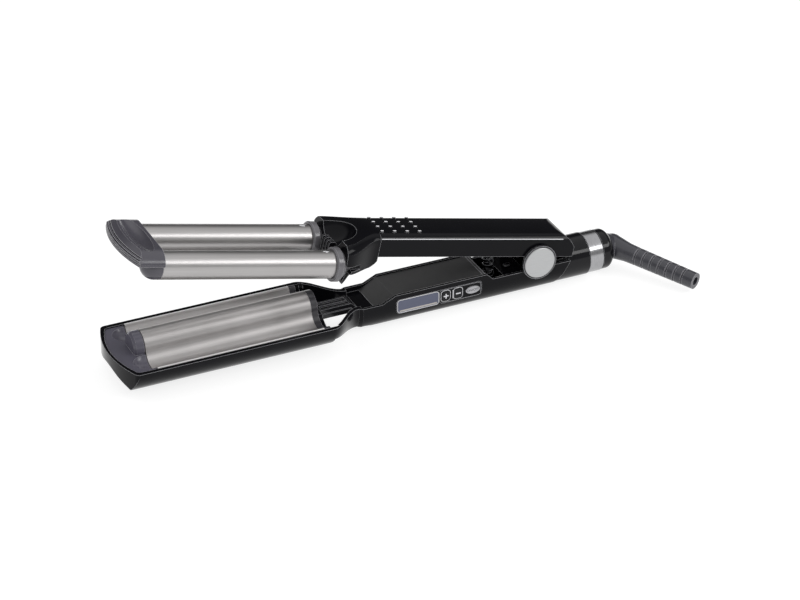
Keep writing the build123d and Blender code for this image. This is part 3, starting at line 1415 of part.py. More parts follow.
barrel_ceramic_near.part.label = "barrel_ceramic_near"
export_step(barrel_ceramic_near.part, "parts/barrel_ceramic_near.step")

with BuildPart() as barrel_ceramic_far:
    draw_ceramic(half_pitch)

barrel_ceramic_far.part.label = "barrel_ceramic_far"
export_step(barrel_ceramic_far.part, "parts/barrel_ceramic_far.step")


# ---------------------------------------------------------------- upper tip cap
def tab_face(height, slope):
    """Plan of the finger tab at a height, its bowed front set back by slope."""
    corner_x = nose_x - TAB_OVERHANG + TAB_BOW + slope
    half = TAB_WIDTH / 2
    with BuildSketch(on(ARM, Plane.XY.offset(height))) as plan:
        with BuildLine():
            ThreePointArc((corner_x, half), (corner_x - TAB_BOW, 0), (corner_x, -half))
            Polyline((corner_x, -half), (plate_front, -half), (plate_front, half), (corner_x, half))
        make_face()
    return plan.sketch.face()


with BuildPart() as upper_tip_cap:
    slope_foot = CAP_TOP - TAB_SLOPE_HEIGHT
    extrude(tab_face(TAB_UNDERSIDE, 0), amount=slope_foot - TAB_UNDERSIDE)
    loft([tab_face(slope_foot, 0), tab_face(CAP_TOP, TAB_SLOPE_LENGTH)])
    # rounded sides about the barrel axes
    with BuildSketch(on(ARM, Plane.YZ.offset(plate_front))):
        SlotOverall(BARREL_PITCH + 2 * CAP_SIDE_R, 2 * CAP_SIDE_R)
    extrude(amount=-2 * NOSE_LENGTH, mode=Mode.INTERSECT)
    # domed barrel ends and the plugs behind them
    plug_r = barrel_r - BARREL_WALL - FIT
    for side in (-half_pitch, half_pitch):
        with BuildSketch(on(ARM, Plane.XY)):
            with BuildLine():
                CenterArc((dome_x, side), barrel_r, QUARTER_TURN, QUARTER_TURN)
                Polyline(
                    (dome_x, side + barrel_r),
                    (plate_front, side + barrel_r),
                    (plate_front, side + plug_r),
                    (core_front - CORE_GAP, side + plug_r),
                    (core_front - CORE_GAP, side),
                    (dome_x - barrel_r, side),
                )
            make_face()
        revolve(axis=axis_x(ARM, side, 0))
    # clearance over the ridge stub
    gap_x = plate_front - STUB_LENGTH + STUB_BEVEL - STUB_GAP / 2
    rod(ARM, gap_x, plate_front, 0, -RIDGE_DROP, ridge_r + STUB_GAP, Mode.SUBTRACT)
    taper(
        ARM,
        gap_x,
        gap_x - STUB_BEVEL,
        0,
        -RIDGE_DROP,
        ridge_r + STUB_GAP,
        ridge_r - STUB_BEVEL + STUB_GAP,
        Mode.SUBTRACT,
    )
    # grooves along the bowed front
    tab_half = TAB_WIDTH / 2
    for groove in range(TAB_GROOVES):
        groove_z = TAB_UNDERSIDE + TAB_GROOVE_START + groove * TAB_GROOVE_PITCH
        lean = max(groove_z + TAB_GROOVE_WIDTH - slope_foot, 0) / TAB_SLOPE_HEIGHT * TAB_SLOPE_LENGTH
        groove_x = nose_x - TAB_OVERHANG + TAB_BOW + lean + TAB_GROOVE_DEPTH
        with BuildSketch(on(ARM, Plane.XY.offset(groove_z))):
            with BuildLine():
                ThreePointArc((groove_x, tab_half), (groove_x - TAB_BOW, 0), (groove_x, -tab_half))
                Polyline(
                    (groove_x, -tab_half),
                    (groove_x - tab_half, -tab_half),
                    (groove_x - tab_half, tab_half),
                    (groove_x, tab_half),
                )
            make_face()
        extrude(amount=TAB_GROOVE_WIDTH, mode=Mode.SUBTRACT)
    # finger dish: a spindle whose axis lies above the tab
    dish_x = plate_front - DISH_OFFSET
    spindle_r = (DISH_WIDTH**2 / 4 + DISH_DEPTH**2) / (2 * DISH_DEPTH)
    spindle_rise = spindle_r - DISH_DEPTH
    spindle_plane = on(ARM, Plane.XY.offset(CAP_TOP + spindle_rise))
    with BuildSketch(spindle_plane):
        with BuildLine():
            ThreePointArc(
                (dish_x - spindle_rise, -DISH_LENGTH / 2),
                (dish_x - spindle_r, 0),
                (dish_x - spindle_rise, DISH_LENGTH / 2),
            )
            Polyline(
                (dish_x - spindle_rise, DISH_LENGTH / 2),
                (dish_x, DISH_LENGTH / 2),
                (dish_x, -DISH_LENGTH / 2),
                (dish_x - spindle_rise, -DISH_LENGTH / 2),
            )
        make_face()
    dish_axis = Axis(spindle_plane.from_local_coords((dish_x, 0, 0)), spindle_plane.y_dir)
    revolve(axis=dish_axis, mode=Mode.SUBTRACT)

upper_tip_cap.part.label = "upper_tip_cap"
export_step(upper_tip_cap.part, "parts/upper_tip_cap.step")
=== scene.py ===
import math

import bpy
from mathutils import Matrix, Vector


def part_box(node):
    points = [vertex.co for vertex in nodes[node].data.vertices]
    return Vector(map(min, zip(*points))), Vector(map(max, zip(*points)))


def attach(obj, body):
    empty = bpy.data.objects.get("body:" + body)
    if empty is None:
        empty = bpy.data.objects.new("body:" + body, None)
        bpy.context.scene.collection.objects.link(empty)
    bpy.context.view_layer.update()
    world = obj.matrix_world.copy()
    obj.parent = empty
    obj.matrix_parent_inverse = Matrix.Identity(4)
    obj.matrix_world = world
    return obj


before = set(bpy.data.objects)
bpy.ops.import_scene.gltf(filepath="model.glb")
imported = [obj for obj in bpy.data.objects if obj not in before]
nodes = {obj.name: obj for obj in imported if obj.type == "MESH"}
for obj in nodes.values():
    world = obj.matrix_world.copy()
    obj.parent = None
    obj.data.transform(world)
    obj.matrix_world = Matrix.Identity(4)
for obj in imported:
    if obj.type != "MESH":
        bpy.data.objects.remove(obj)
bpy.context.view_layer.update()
scene = bpy.context.scene
scene.view_settings.view_transform = "Standard"

MM = 0.001
HINGE_HEIGHT = 26.5 * MM
OPENING_ANGLE = math.radians(13.3)
ARM = Matrix.Translation((0.0, 0.0, HINGE_HEIGHT)) @ Matrix.Rotation(OPENING_ANGLE, 4, "Y")

X_AXIS = Vector((1.0, 0.0, 0.0))
Y_AXIS = Vector((0.0, 1.0, 0.0))
Z_AXIS = Vector((0.0, 0.0, 1.0))

# ---------------------------------------------------------------- camera, at the photograph's angle
TARGET = Vector((-0.0965, 0.0, 0.01115))
AZIMUTH = math.radians(-25.05)
ELEVATION = math.radians(30.28)
DISTANCE = 2.211
LENS = 146.95
SENSOR = 36.0
CLIP_END = 20.0


def add_camera():
    level = math.cos(ELEVATION)
    back = Vector((math.sin(AZIMUTH) * level, -math.cos(AZIMUTH) * level, math.sin(ELEVATION)))
    data = bpy.data.cameras.new("camera")
    data.lens = LENS
    data.sensor_width = SENSOR
    data.clip_end = CLIP_END
    camera = bpy.data.objects.new("camera", data)
    camera.location = TARGET + back * DISTANCE
    camera.rotation_euler = back.to_track_quat("Z", "Y").to_euler()
    scene.collection.objects.link(camera)
    scene.camera = camera


# ---------------------------------------------------------------- node helpers
NOISE_LOW = 0.3  # a noise between these two runs through the whole of a ramp
NOISE_HIGH = 0.7
ROUNDING_SAMPLES = 6
MASK_SAMPLES = 8
EDGE_TURNED = 0.88  # cosine between the rounded and the true normal, on an edge
EDGE_FLAT = 0.99
GROOVE_DEEP = 0.45  # share of open air deep in a groove, where the painted shade is full
GROOVE_OPEN = 0.90


def add_node(tree, kind, **settings):
    node = tree.nodes.new(kind)
    for key, value in settings.items():
        setattr(node, key, value)
    return node


class Nodes:
    """Small helper round one material's node tree."""

    def __init__(self, name):
        self.material = bpy.data.materials.new(name)
        self.material.use_nodes = True
        self.tree = self.material.node_tree
        self.shader = self.tree.nodes["Principled BSDF"]
        self.coords = self.new("ShaderNodeTexCoord").outputs["Object"]

    def new(self, kind, **settings):
        return add_node(self.tree, kind, **settings)

    def link(self, source, target):
        self.tree.links.new(source, target)

    def stretched(self, size, tilt):
        """Coordinates whose unit is `size` metres along axes turned by `tilt` about Y."""
        node = self.new("ShaderNodeMapping", vector_type="TEXTURE")
        node.inputs["Rotation"].default_value = (0.0, tilt, 0.0)
        node.inputs["Scale"].default_value = size
        self.link(self.coords, node.inputs["Vector"])
        return node.outputs["Vector"]

    def noise(self, scale, detail, vector=None):
        node = self.new("ShaderNodeTexNoise")
        node.inputs["Scale"].default_value = scale
        node.inputs["Detail"].default_value = detail
        self.link(vector or self.coords, node.inputs["Vector"])
        return node.outputs["Fac"]

    def ramp(self, factor, low, high, low_at=NOISE_LOW, high_at=NOISE_HIGH):
        node = self.new("ShaderNodeMapRange")
        node.inputs["From Min"].default_value = low_at
        node.inputs["From Max"].default_value = high_at
        node.inputs["To Min"].default_value = low
        node.inputs["To Max"].default_value = high
        self.link(factor, node.inputs["Value"])
        return node.outputs["Result"]

    def colours(self, factor, first, second):
        node = self.new("ShaderNodeValToRGB")
        for element, position, colour in zip(
            node.color_ramp.elements, (NOISE_LOW, NOISE_HIGH), (first, second)
        ):
            element.position = position
            element.color = (*colour, 1.0)
        self.link(factor, node.inputs["Fac"])
        return node.outputs["Color"]

    def mixed(self, first, second, share):
        """Weighted sum of two factors."""
        scaled = self.new("ShaderNodeMath", operation="MULTIPLY")
        self.link(second, scaled.inputs[0])
        scaled.inputs[1].default_value = share
        total = self.new("ShaderNodeMath", operation="MULTIPLY_ADD")
        self.link(first, total.inputs[0])
        total.inputs[1].default_value = 1.0 - share
        self.link(scaled.outputs[0], total.inputs[2])
        return total.outputs[0]

    def surface(self, height, strength, distance, edge):
        """Grain on the surface, and edges rounded to the radius `edge`."""
        bump = self.new("ShaderNodeBump")
        bump.inputs["Strength"].default_value = strength
        bump.inputs["Distance"].default_value = distance
        self.link(height, bump.inputs["Height"])
        if edge:
            bevel = self.new("ShaderNodeBevel", samples=ROUNDING_SAMPLES)
            bevel.inputs["Radius"].default_value = edge
            self.link(bevel.outputs["Normal"], bump.inputs["Normal"])
        self.link(bump.outputs["Normal"], self.shader.inputs["Normal"])

    def edges(self, width):
        """Where the painted highlight goes: 1 along the edges of the form, fading out over `width`,
        and 0 on the faces.
        """
        bevel = self.new("ShaderNodeBevel", samples=MASK_SAMPLES)
        bevel.inputs["Radius"].default_value = width
        dot = self.new("ShaderNodeVectorMath", operation="DOT_PRODUCT")
        self.link(bevel.outputs["Normal"], dot.inputs[0])
        self.link(self.new("ShaderNodeNewGeometry").outputs["Normal"], dot.inputs[1])
        return self.ramp(dot.outputs["Value"], 1.0, 0.0, EDGE_TURNED, EDGE_FLAT)

    def groove_shade(self, reach):
        """Where the painted shade goes: 1 deep in a groove narrower than `reach`, and 0 on open
        faces.
        """
        node = self.new("ShaderNodeAmbientOcclusion", samples=MASK_SAMPLES)
        node.inputs["Distance"].default_value = reach
        return self.ramp(node.outputs["AO"], 1.0, 0.0, GROOVE_DEEP, GROOVE_OPEN)

    def blended(self, factor, first, second):
        """From the socket `first` to the plain colour `second`."""
        node = self.new("ShaderNodeMix", data_type="RGBA")
        self.link(factor, node.inputs["Factor"])
        self.link(first, node.inputs["A"])
        node.inputs["B"].default_value = (*second, 1.0)
        return node.outputs["Result"]

    def set(self, **values):
        for key, value in values.items():
            self.shader.inputs[key.replace("_", " ")].default_value = value

    def drive(self, key, source):
        self.link(source, self.shader.inputs[key])


# ---------------------------------------------------------------- kinds of surface
# each noise is (scale, detail), each depth is a bump's distance
COLOUR_DRIFT = (18.0, 4.0)
GLOSS_DRIFT = (60.0, 5.0)
GRAIN = (1400.0, 2.0)
GRAIN_DEPTH = 0.05 * MM
# colour of the painted shade deep in narrow hollows
GROOVE_PAINTED_SHADE = (0.012, 0.012, 0.014)

STREAK = (1.0, 4.0)
STREAK_DEPTH = 0.03 * MM
CLOUD = (35.0, 3.0)

STUD_COLOUR_DRIFT = (300.0, 3.0)
STUD_GLOSS_DRIFT = (400.0, 3.0)
STUD_GRAIN = 0.02
STUD_DARKER = 0.7
STUD_SIDE = 0.80  # cosine to the handle's upward direction, where the painted highlight on a dot's top begins
STUD_TOP = 0.95


def plastic(
    name, first, second, rough, bump=0.04, specular=0.5, edge=0.3 * MM, line=None,
    line_width=0.35 * MM, groove=0.0,
):
    """Moulded plastic: slow colour drift, uneven gloss, a fine grain, soft edges with a painted
    highlight along them, and painted shade deep in narrow hollows.
    """
    m = Nodes(name)
    colour = m.colours(m.noise(*COLOUR_DRIFT), first, second)
    # painted highlight: a lighter colour along the edges, where they would catch the light
    if line:
        colour = m.blended(m.edges(line_width), colour, line)
    # painted shade: darker deep in narrow hollows, where shade would fall
    if groove:
        colour = m.blended(m.groove_shade(groove), colour, GROOVE_PAINTED_SHADE)
    m.drive("Base Color", colour)
    m.drive("Roughness", m.ramp(m.noise(*GLOSS_DRIFT), *rough))
    m.surface(m.noise(*GRAIN), bump, GRAIN_DEPTH, edge)
    m.set(Specular_IOR_Level=specular)
    return m.material


def metal(
    name, first, second, rough, streak, tilt=0.0, cloud=0.3, bump=0.03, metallic=1.0,
    edge=0.25 * MM,
):
    """Satin metal: fine streaks of the size `streak`, under soft cloudy patches."""
    m = Nodes(name)
    lines = m.noise(*STREAK, m.stretched(streak, tilt))
    both = m.mixed(lines, m.noise(*CLOUD), cloud)
    m.drive("Base Color", m.colours(both, first, second))
    m.drive("Roughness", m.ramp(both, *rough))
    m.surface(lines, bump, STREAK_DEPTH, edge)
    m.set(Metallic=metallic)
    return m.material


def stud_highlight_finish(name, top, side, rough):
    """Painted highlight: bright tops, facing up along the handle, on the dark sides of the raised
    grip dots.
    """
    m = Nodes(name)
    dot = m.new("ShaderNodeVectorMath", operation="DOT_PRODUCT")
    m.link(m.new("ShaderNodeTexCoord").outputs["Normal"], dot.inputs[0])
    dot.inputs[1].default_value = ARM.to_3x3() @ Z_AXIS
    highlight_share = m.ramp(dot.outputs["Value"], 0.0, 1.0, STUD_SIDE, STUD_TOP)
    darker = [channel * STUD_DARKER for channel in side]
    drift = m.colours(m.noise(*STUD_COLOUR_DRIFT), side, darker)
    m.drive("Base Color", m.blended(highlight_share, drift, top))
    m.drive("Roughness", m.ramp(m.noise(*STUD_GLOSS_DRIFT), *rough))
    m.surface(m.noise(*GRAIN), STUD_GRAIN, GRAIN_DEPTH, 0.0)
    return m.material


# ---------------------------------------------------------------- materials
ALONG_X = (60.0 * MM, 0.9 * MM, 0.9 * MM)  # size of a metal's streaks
TURNED = (1.5 * MM, 1.5 * MM, 0.3 * MM)
BRUSHED = (9.0 * MM, 9.0 * MM, 0.35 * MM)
ROUND_X = (0.3 * MM, 4.0 * MM, 4.0 * MM)
BLACK_EDGE_HIGHLIGHT = (0.42, 0.42, 0.44)  # colour of the painted highlight along a plastic's edges, as are the next two
GREY_EDGE_HIGHLIGHT = (0.42, 0.41, 0.44)
TIP_EDGE_HIGHLIGHT = (0.56, 0.55, 0.58)

gloss_black = plastic(
    "gloss_black", (0.0040, 0.0040, 0.0052), (0.0058, 0.0058, 0.0075), (0.04, 0.09),
    bump=0.01, specular=0.11, edge=0.8 * MM, line=BLACK_EDGE_HIGHLIGHT, line_width=0.5 * MM,
)
panel_black = plastic(
    "panel_black", (0.0035, 0.0035, 0.0045), (0.0050, 0.0050, 0.0062), (0.04, 0.08),
    bump=0.01, specular=0.12, line=BLACK_EDGE_HIGHLIGHT, line_width=0.25 * MM,
)
ferrule_black = plastic(
    "ferrule_black", (0.0040, 0.0040, 0.0052), (0.0058, 0.0058, 0.0075), (0.07, 0.12),
    bump=0.01, specular=0.24, edge=0.5 * MM, line=BLACK_EDGE_HIGHLIGHT, line_width=0.4 * MM,
)
satin_dark = plastic(
    "satin_dark", (0.016, 0.016, 0.017), (0.022, 0.022, 0.024), (0.30, 0.40),
    specular=0.45, line=BLACK_EDGE_HIGHLIGHT,
)
bridge_black = plastic(
    "bridge_black", (0.010, 0.010, 0.012), (0.014, 0.014, 0.016), (0.12, 0.20),
    specular=0.4, line=BLACK_EDGE_HIGHLIGHT, line_width=0.5 * MM,
)
satin_cover = plastic(
    "satin_cover", (0.054, 0.054, 0.055), (0.070, 0.070, 0.071), (0.28, 0.36),
    line=BLACK_EDGE_HIGHLIGHT, line_width=0.45 * MM,
)
tip_upper = plastic(
    "tip_upper", (0.066, 0.063, 0.078), (0.088, 0.084, 0.102), (0.18, 0.26),
    line=TIP_EDGE_HIGHLIGHT, line_width=0.45 * MM, groove=1.4 * MM,
)
tip_lower = plastic(
    "tip_lower", (0.100, 0.096, 0.124), (0.124, 0.118, 0.150), (0.18, 0.26),
    edge=0.5 * MM, line=GREY_EDGE_HIGHLIGHT,
)
band_dark = plastic(
    "band_dark", (0.044, 0.043, 0.048), (0.062, 0.060, 0.066), (0.16, 0.24),
    edge=0.4 * MM, line=GREY_EDGE_HIGHLIGHT,
)
collar_dark = plastic(
    "collar_dark", (0.125, 0.122, 0.132), (0.165, 0.160, 0.172), (0.16, 0.24),
    edge=0.6 * MM, line=GREY_EDGE_HIGHLIGHT, line_width=0.5 * MM, groove=1.2 * MM,
)
key_dark = plastic(
    "key_dark", (0.008, 0.008, 0.010), (0.012, 0.012, 0.014), (0.18, 0.26), specular=0.2,
)
key_pale = plastic("key_pale", (0.46, 0.46, 0.48), (0.52, 0.52, 0.54), (0.28, 0.36))
# grip dots: a painted highlight on their tops
stud_painted_highlight = stud_highlight_finish("stud_painted_highlight", (0.95, 0.95, 0.97), (0.05, 0.05, 0.055), (0.10, 0.18))
# pale print, and the painted highlight along the ridges of the upper handle
print_and_highlight_pale = plastic(
    "print_and_highlight_pale", (0.72, 0.72, 0.75), (0.82, 0.82, 0.85), (0.2, 0.3), edge=0.0,
)
# grey lines: painted highlights round the hinge bezels and across the cover's rear end, and the
# frame round the keys
line_grey = plastic(
    "line_grey", (0.30, 0.30, 0.32), (0.38, 0.38, 0.40), (0.15, 0.25), edge=0.0,
)
print_dark = plastic(
    "print_dark", (0.010, 0.010, 0.011), (0.014, 0.014, 0.015), (0.3, 0.4), edge=0.0,
)
light_strip = plastic(
    "light_strip", (0.50, 0.47, 0.45), (0.58, 0.55, 0.52), (0.15, 0.25), edge=0.0,
)
ceramic = plastic("ceramic", (0.75, 0.74, 0.70), (0.85, 0.84, 0.80), (0.4, 0.55))
board_green = plastic("board_green", (0.02, 0.12, 0.05), (0.03, 0.18, 0.07), (0.35, 0.5))
boot_rubber = plastic(
    "boot_rubber", (0.038, 0.038, 0.046), (0.052, 0.052, 0.062), (0.22, 0.30),
    bump=0.05, line=GREY_EDGE_HIGHLIGHT, line_width=0.5 * MM,
)
screen = plastic("screen", (0.10, 0.11, 0.17), (0.13, 0.14, 0.21), (0.25, 0.35))
lens = plastic(
    "lens", (0.090, 0.100, 0.160), (0.115, 0.126, 0.190), (0.05, 0.1), bump=0.01,
)
titanium = metal(
    "titanium", (0.46, 0.445, 0.44), (0.60, 0.58, 0.575), (0.38, 0.44), ALONG_X, cloud=0.7,
)
titanium_arm = metal(
    "titanium_arm", (0.40, 0.388, 0.385), (0.47, 0.458, 0.454), (0.32, 0.38), ALONG_X,
    tilt=OPENING_ANGLE,
)
# painted highlight: a brighter metal for the beads along the plate's edges
edge_highlight_metal = metal(
    "edge_highlight_metal", (0.72, 0.71, 0.71), (0.82, 0.81, 0.81), (0.28, 0.34), ALONG_X, edge=0.0,
)
steel = metal("steel", (0.55, 0.55, 0.57), (0.68, 0.68, 0.70), (0.18, 0.28), TURNED)
spring_steel = metal(
    "spring_steel", (0.10, 0.10, 0.11), (0.15, 0.15, 0.16), (0.20, 0.30), TURNED,
)
disc_metal = metal(
    "disc_metal", (0.45, 0.455, 0.46), (0.53, 0.535, 0.54), (0.38, 0.48), BRUSHED,
    cloud=0.2, bump=0.1, metallic=0.7,
)
ring_metal = metal("ring_metal", (0.30, 0.30, 0.31), (0.40, 0.40, 0.41), (0.16, 0.24), ROUND_X)
aluminium = metal("aluminium", (0.70, 0.70, 0.72), (0.80, 0.80, 0.82), (0.28, 0.38), ALONG_X)

FINISH = {
    "lower_shell": gloss_black,
    "upper_shell": gloss_black,
    "control_fascia": panel_black,
    "lower_cover": satin_cover,
    "upper_cover": satin_dark,
    "spine_bridge": bridge_black,
    "tact_switches": satin_dark,
    "hinge_sleeve": satin_dark,
    "hinge_bezel_near": panel_black,
    "hinge_bezel_far": panel_black,
    "swivel_collar": ferrule_black,
    "swivel_cone": ferrule_black,
    "grip_studs": stud_painted_highlight,
    "wave_plate": titanium,
    "barrel_near": titanium_arm,
    "barrel_far": titanium_arm,
    "plate_end_band": band_dark,
    "barrel_collar_near": collar_dark,
    "barrel_collar_far": collar_dark,
    "lower_tip_cap": tip_lower,
    "upper_tip_cap": tip_upper,
    "ridge_core": aluminium,
    "barrel_core_near": aluminium,
    "barrel_core_far": aluminium,
    "ridge_ceramic": ceramic,
    "barrel_ceramic_near": ceramic,
    "barrel_ceramic_far": ceramic,
    "thermal_fuse": steel,
    "hinge_pin": steel,
    "arm_spring": spring_steel,
    "case_screws": steel,
    "cover_screws": steel,
    "swivel_clip": steel,
    "hinge_disc_near": disc_metal,
    "hinge_disc_far": disc_metal,
    "collar_ring": ring_metal,
    "display_window": lens,
    "display_module": screen,
    "plus_button": key_dark,
    "minus_button": key_dark,
    "power_button": key_pale,
    "circuit_board": board_green,
    "cord_boot": boot_rubber,
}


def finish_nodes():
    for name, material in FINISH.items():
        node = nodes[name]
        if not node.material_slots:
            node.data.materials.append(material)
        for slot in node.material_slots:
            slot.link = "OBJECT"
            slot.material = material


# ---------------------------------------------------------------- trim in mesh code
CORNER_STEPS = 6
CIRCLE_STEPS = 72
PROFILE_STEPS = 6
SHARP_ANGLE = math.radians(50.0)
SINK = 0.03 * MM  # how far a bead is let into what carries it


def place(name, mesh, body, material):
    mesh.materials.append(material)
    piece = bpy.data.objects.new(name, mesh)
    scene.collection.objects.link(piece)
    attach(piece, body)


def add_piece(name, body, material, vertices, faces):
    mesh = bpy.data.meshes.new(name)
    mesh.from_pydata(vertices, [], faces)
    mesh.update()
    mesh.polygons.foreach_set("use_smooth", [True] * len(mesh.polygons))
    mesh.set_sharp_from_angle(angle=SHARP_ANGLE)
    place(name, mesh, body, material)


def bead(name, body, material, path, lift, size, closed=True):
    """Half-round bead of `size` (width, height), standing up along `lift`.

    It follows a path of (point, sideways direction).
    """
    width, height = size
    vertices = []
    for point, side in path:
        for step in range(PROFILE_STEPS + 1):
            angle = math.pi * step / PROFILE_STEPS
            across = side * (width / 2 * math.cos(angle))
            vertices.append(point + across + lift * (height * math.sin(angle) - SINK))
    ring = PROFILE_STEPS + 1
    faces = []
    spans = len(path) if closed else len(path) - 1
    for span in range(spans):
        here = span * ring
        there = (span + 1) % len(path) * ring
        for step in range(ring):
            following = (step + 1) % ring
            faces.append((here + step, here + following, there + following, there + step))
    if not closed:
        last = (len(path) - 1) * ring
        faces.append(tuple(range(ring)))
        faces.append(tuple(reversed(range(last, last + ring))))
    add_piece(name, body, material, vertices, faces)


def rounded_path(centre, length, height, corner):
    """Rounded rectangle on the near side, as (point, outward direction)."""
    path = []
    for quarter in range(4):
        sign_x = 1 if quarter in (0, 3) else -1
        sign_z = 1 if quarter in (0, 1) else -1
        over_x = X_AXIS * (sign_x * (length / 2 - corner))
        over_z = Z_AXIS * (sign_z * (height / 2 - corner))
        hub = centre + over_x + over_z
        for step in range(CORNER_STEPS + 1):
            angle = math.pi / 2 * (quarter + step / CORNER_STEPS)
            outward = X_AXIS * math.cos(angle) + Z_AXIS * math.sin(angle)
            path.append((hub + outward * corner, outward))
    return path


def circle_path(centre, radius):
    path = []
    for step in range(CIRCLE_STEPS):
        angle = math.tau * step / CIRCLE_STEPS
        outward = X_AXIS * math.cos(angle) + Z_AXIS * math.sin(angle)
        path.append((centre + outward * radius, outward))
    return path


def straight_path(start, end, side):
    return [(start, side), (end, side)]


def centred_path(centre, along, half, side):
    return straight_path(centre - along * half, centre + along * half, side)


def node_face(name):
    """Centre and size of a node of the control panel, seen from the near side."""
    low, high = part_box(name)
    centre = Vector(((low.x + high.x) / 2, low.y, (low.z + high.z) / 2))
    return centre, high.x - low.x, high.z - low.z


# ---------------------------------------------------------------- control panel
# each bead is (width, height)
DISPLAY_FRAME = (0.55 * MM, 0.25 * MM)
DISPLAY_FRAME_GAP = 0.4 * MM  # from the window's side to the middle of its frame
DISPLAY_FRAME_CORNER = 2.0 * MM
STRIP = (1.2 * MM, 0.12 * MM)
STRIP_LIFT = 0.9 * MM  # above the window's lower side
STRIP_INSET = 1.0 * MM
KEY_LENGTH = 6.0 * MM
KEY_HEIGHT = 7.2 * MM
KEY_CORNER = 1.8 * MM
KEY_FRAME = (0.5 * MM, 0.16 * MM)
KEY_FRAME_GAP = 0.5 * MM  # from a key's side to the middle of its frame
MARK = (1.0 * MM, 0.15 * MM)
MARK_LENGTH = 3.7 * MM
BAR = (1.1 * MM, 0.22 * MM)
BAR_INSET = 0.4 * MM
GROUP_FRAME = (0.32 * MM, 0.12 * MM)
GROUP_FRONT_GAP = 1.0 * MM  # behind the window
GROUP_REAR_INSET = 0.6 * MM  # from the fascia's rear end
GROUP_HEIGHT_LESS = 0.9 * MM  # than the fascia's height
GROUP_CORNER = 1.9 * MM
LABEL = "ON/OFF"
LABEL_SIZE = 2.5 * MM
LABEL_RELIEF = 0.03 * MM


def add_panel_trim():
    fascia, fascia_length, fascia_height = node_face("control_fascia")
    window, window_length, window_height = node_face("display_window")
    outward = -Y_AXIS

    path = rounded_path(
        Vector((window.x, fascia.y, window.z)),
        window_length + 2 * DISPLAY_FRAME_GAP,
        window_height + 2 * DISPLAY_FRAME_GAP,
        DISPLAY_FRAME_CORNER,
    )
    bead("display_frame", "root", print_and_highlight_pale, path, outward, DISPLAY_FRAME)

    strip = Vector((window.x, window.y, window.z - window_height / 2 + STRIP_LIFT))
    path = centred_path(strip, X_AXIS, window_length / 2 - STRIP_INSET, Z_AXIS)
    bead("display_strip", "root", light_strip, path, outward, STRIP, closed=False)

    half = MARK_LENGTH / 2
    for name in ("plus_button", "minus_button"):
        key, _, _ = node_face(name)
        path = rounded_path(
            Vector((key.x, fascia.y, key.z)),
            KEY_LENGTH + 2 * KEY_FRAME_GAP,
            KEY_HEIGHT + 2 * KEY_FRAME_GAP,
            KEY_CORNER + KEY_FRAME_GAP,
        )
        bead(name + "_frame", "root", print_and_highlight_pale, path, outward, KEY_FRAME)
        strokes = [("_mark", X_AXIS, Z_AXIS)]
        if name == "plus_button":
            strokes.append(("_stroke", Z_AXIS, X_AXIS))
        for ending, along, side in strokes:
            path = centred_path(key, along, half, side)
            bead(name + ending, name, print_and_highlight_pale, path, outward, MARK, closed=False)

    key, _, _ = node_face("minus_button")
    bar = Vector((key.x - KEY_LENGTH / 2 - KEY_FRAME_GAP, fascia.y, key.z))
    path = centred_path(bar, Z_AXIS, KEY_HEIGHT / 2 - BAR_INSET, X_AXIS)
    bead("key_bar", "root", print_and_highlight_pale, path, outward, BAR, closed=False)

    front = window.x + window_length / 2 + GROUP_FRONT_GAP
    rear = fascia.x + fascia_length / 2 - GROUP_REAR_INSET
    centre = Vector(((front + rear) / 2, fascia.y, fascia.z))
    path = rounded_path(centre, rear - front, fascia_height - GROUP_HEIGHT_LESS, GROUP_CORNER)
    bead("key_group_frame", "root", line_grey, path, outward, GROUP_FRAME)


def add_power_label():
    """Generic lettering on the oval key."""
    key, _, _ = node_face("power_button")
    curve = bpy.data.curves.new("power_label_text", "FONT")
    curve.body = LABEL
    curve.size = LABEL_SIZE
    curve.align_x = "CENTER"
    curve.align_y = "CENTER"
    curve.extrude = LABEL_RELIEF
    text = bpy.data.objects.new("power_label_text", curve)
    scene.collection.objects.link(text)
    bpy.context.view_layer.update()
    evaluated = text.evaluated_get(bpy.context.evaluated_depsgraph_get())
    mesh = bpy.data.meshes.new_from_object(evaluated)
    bpy.data.objects.remove(text)
    mesh.transform(Matrix.Translation(key) @ Matrix.Rotation(math.pi / 2, 4, "X"))
    mesh.name = "power_label"
    mesh.materials.clear()
    place("power_label", mesh, "power_button", print_dark)


# ---------------------------------------------------------------- hinge, cover and barrels
BEZEL_LINE = (0.3 * MM, 0.1 * MM)
BEZEL_LINE_INSET = 0.2 * MM
# grip line: a pale bead for the painted highlight on each ridge of the upper handle
GRIP_LINE = (0.6 * MM, 0.16 * MM)
GRIP_LINE_START = -123.8 * MM  # along the upper arm, from the hinge
GRIP_LINE_END = 16.0 * MM
GRIP_LINE_SIDE = 15.25 * MM
GRIP_LINE_HEIGHT = 16.2 * MM
GRIP_LINE_TILT = math.radians(23.0)
COVER_LINE = (0.6 * MM, 0.15 * MM)
COVER_LINE_INSETS = (0.7 * MM, 2.4 * MM)  # from the cover's rear end
COVER_LINE_SIDE = 0.8 * MM
PLATE_LIP = (1.3 * MM, 0.6 * MM)
PLATE_LIP_INSET = 0.8 * MM
PLATE_EDGE_Z = 22.6 * MM  # top of the plate's flat edges, level with the rims
BARREL_RADIUS = 9.5 * MM
BARREL_SIDE = 19.45 * MM
RIVET_X = -165.5 * MM  # along the upper arm, from the hinge
RIVET_LENGTH = 5.2 * MM
RIVET_WIDTH = 2.6 * MM
RIVET_HEIGHT = 0.55 * MM
RIVET_RINGS = 6
RIVET_STEPS = 24


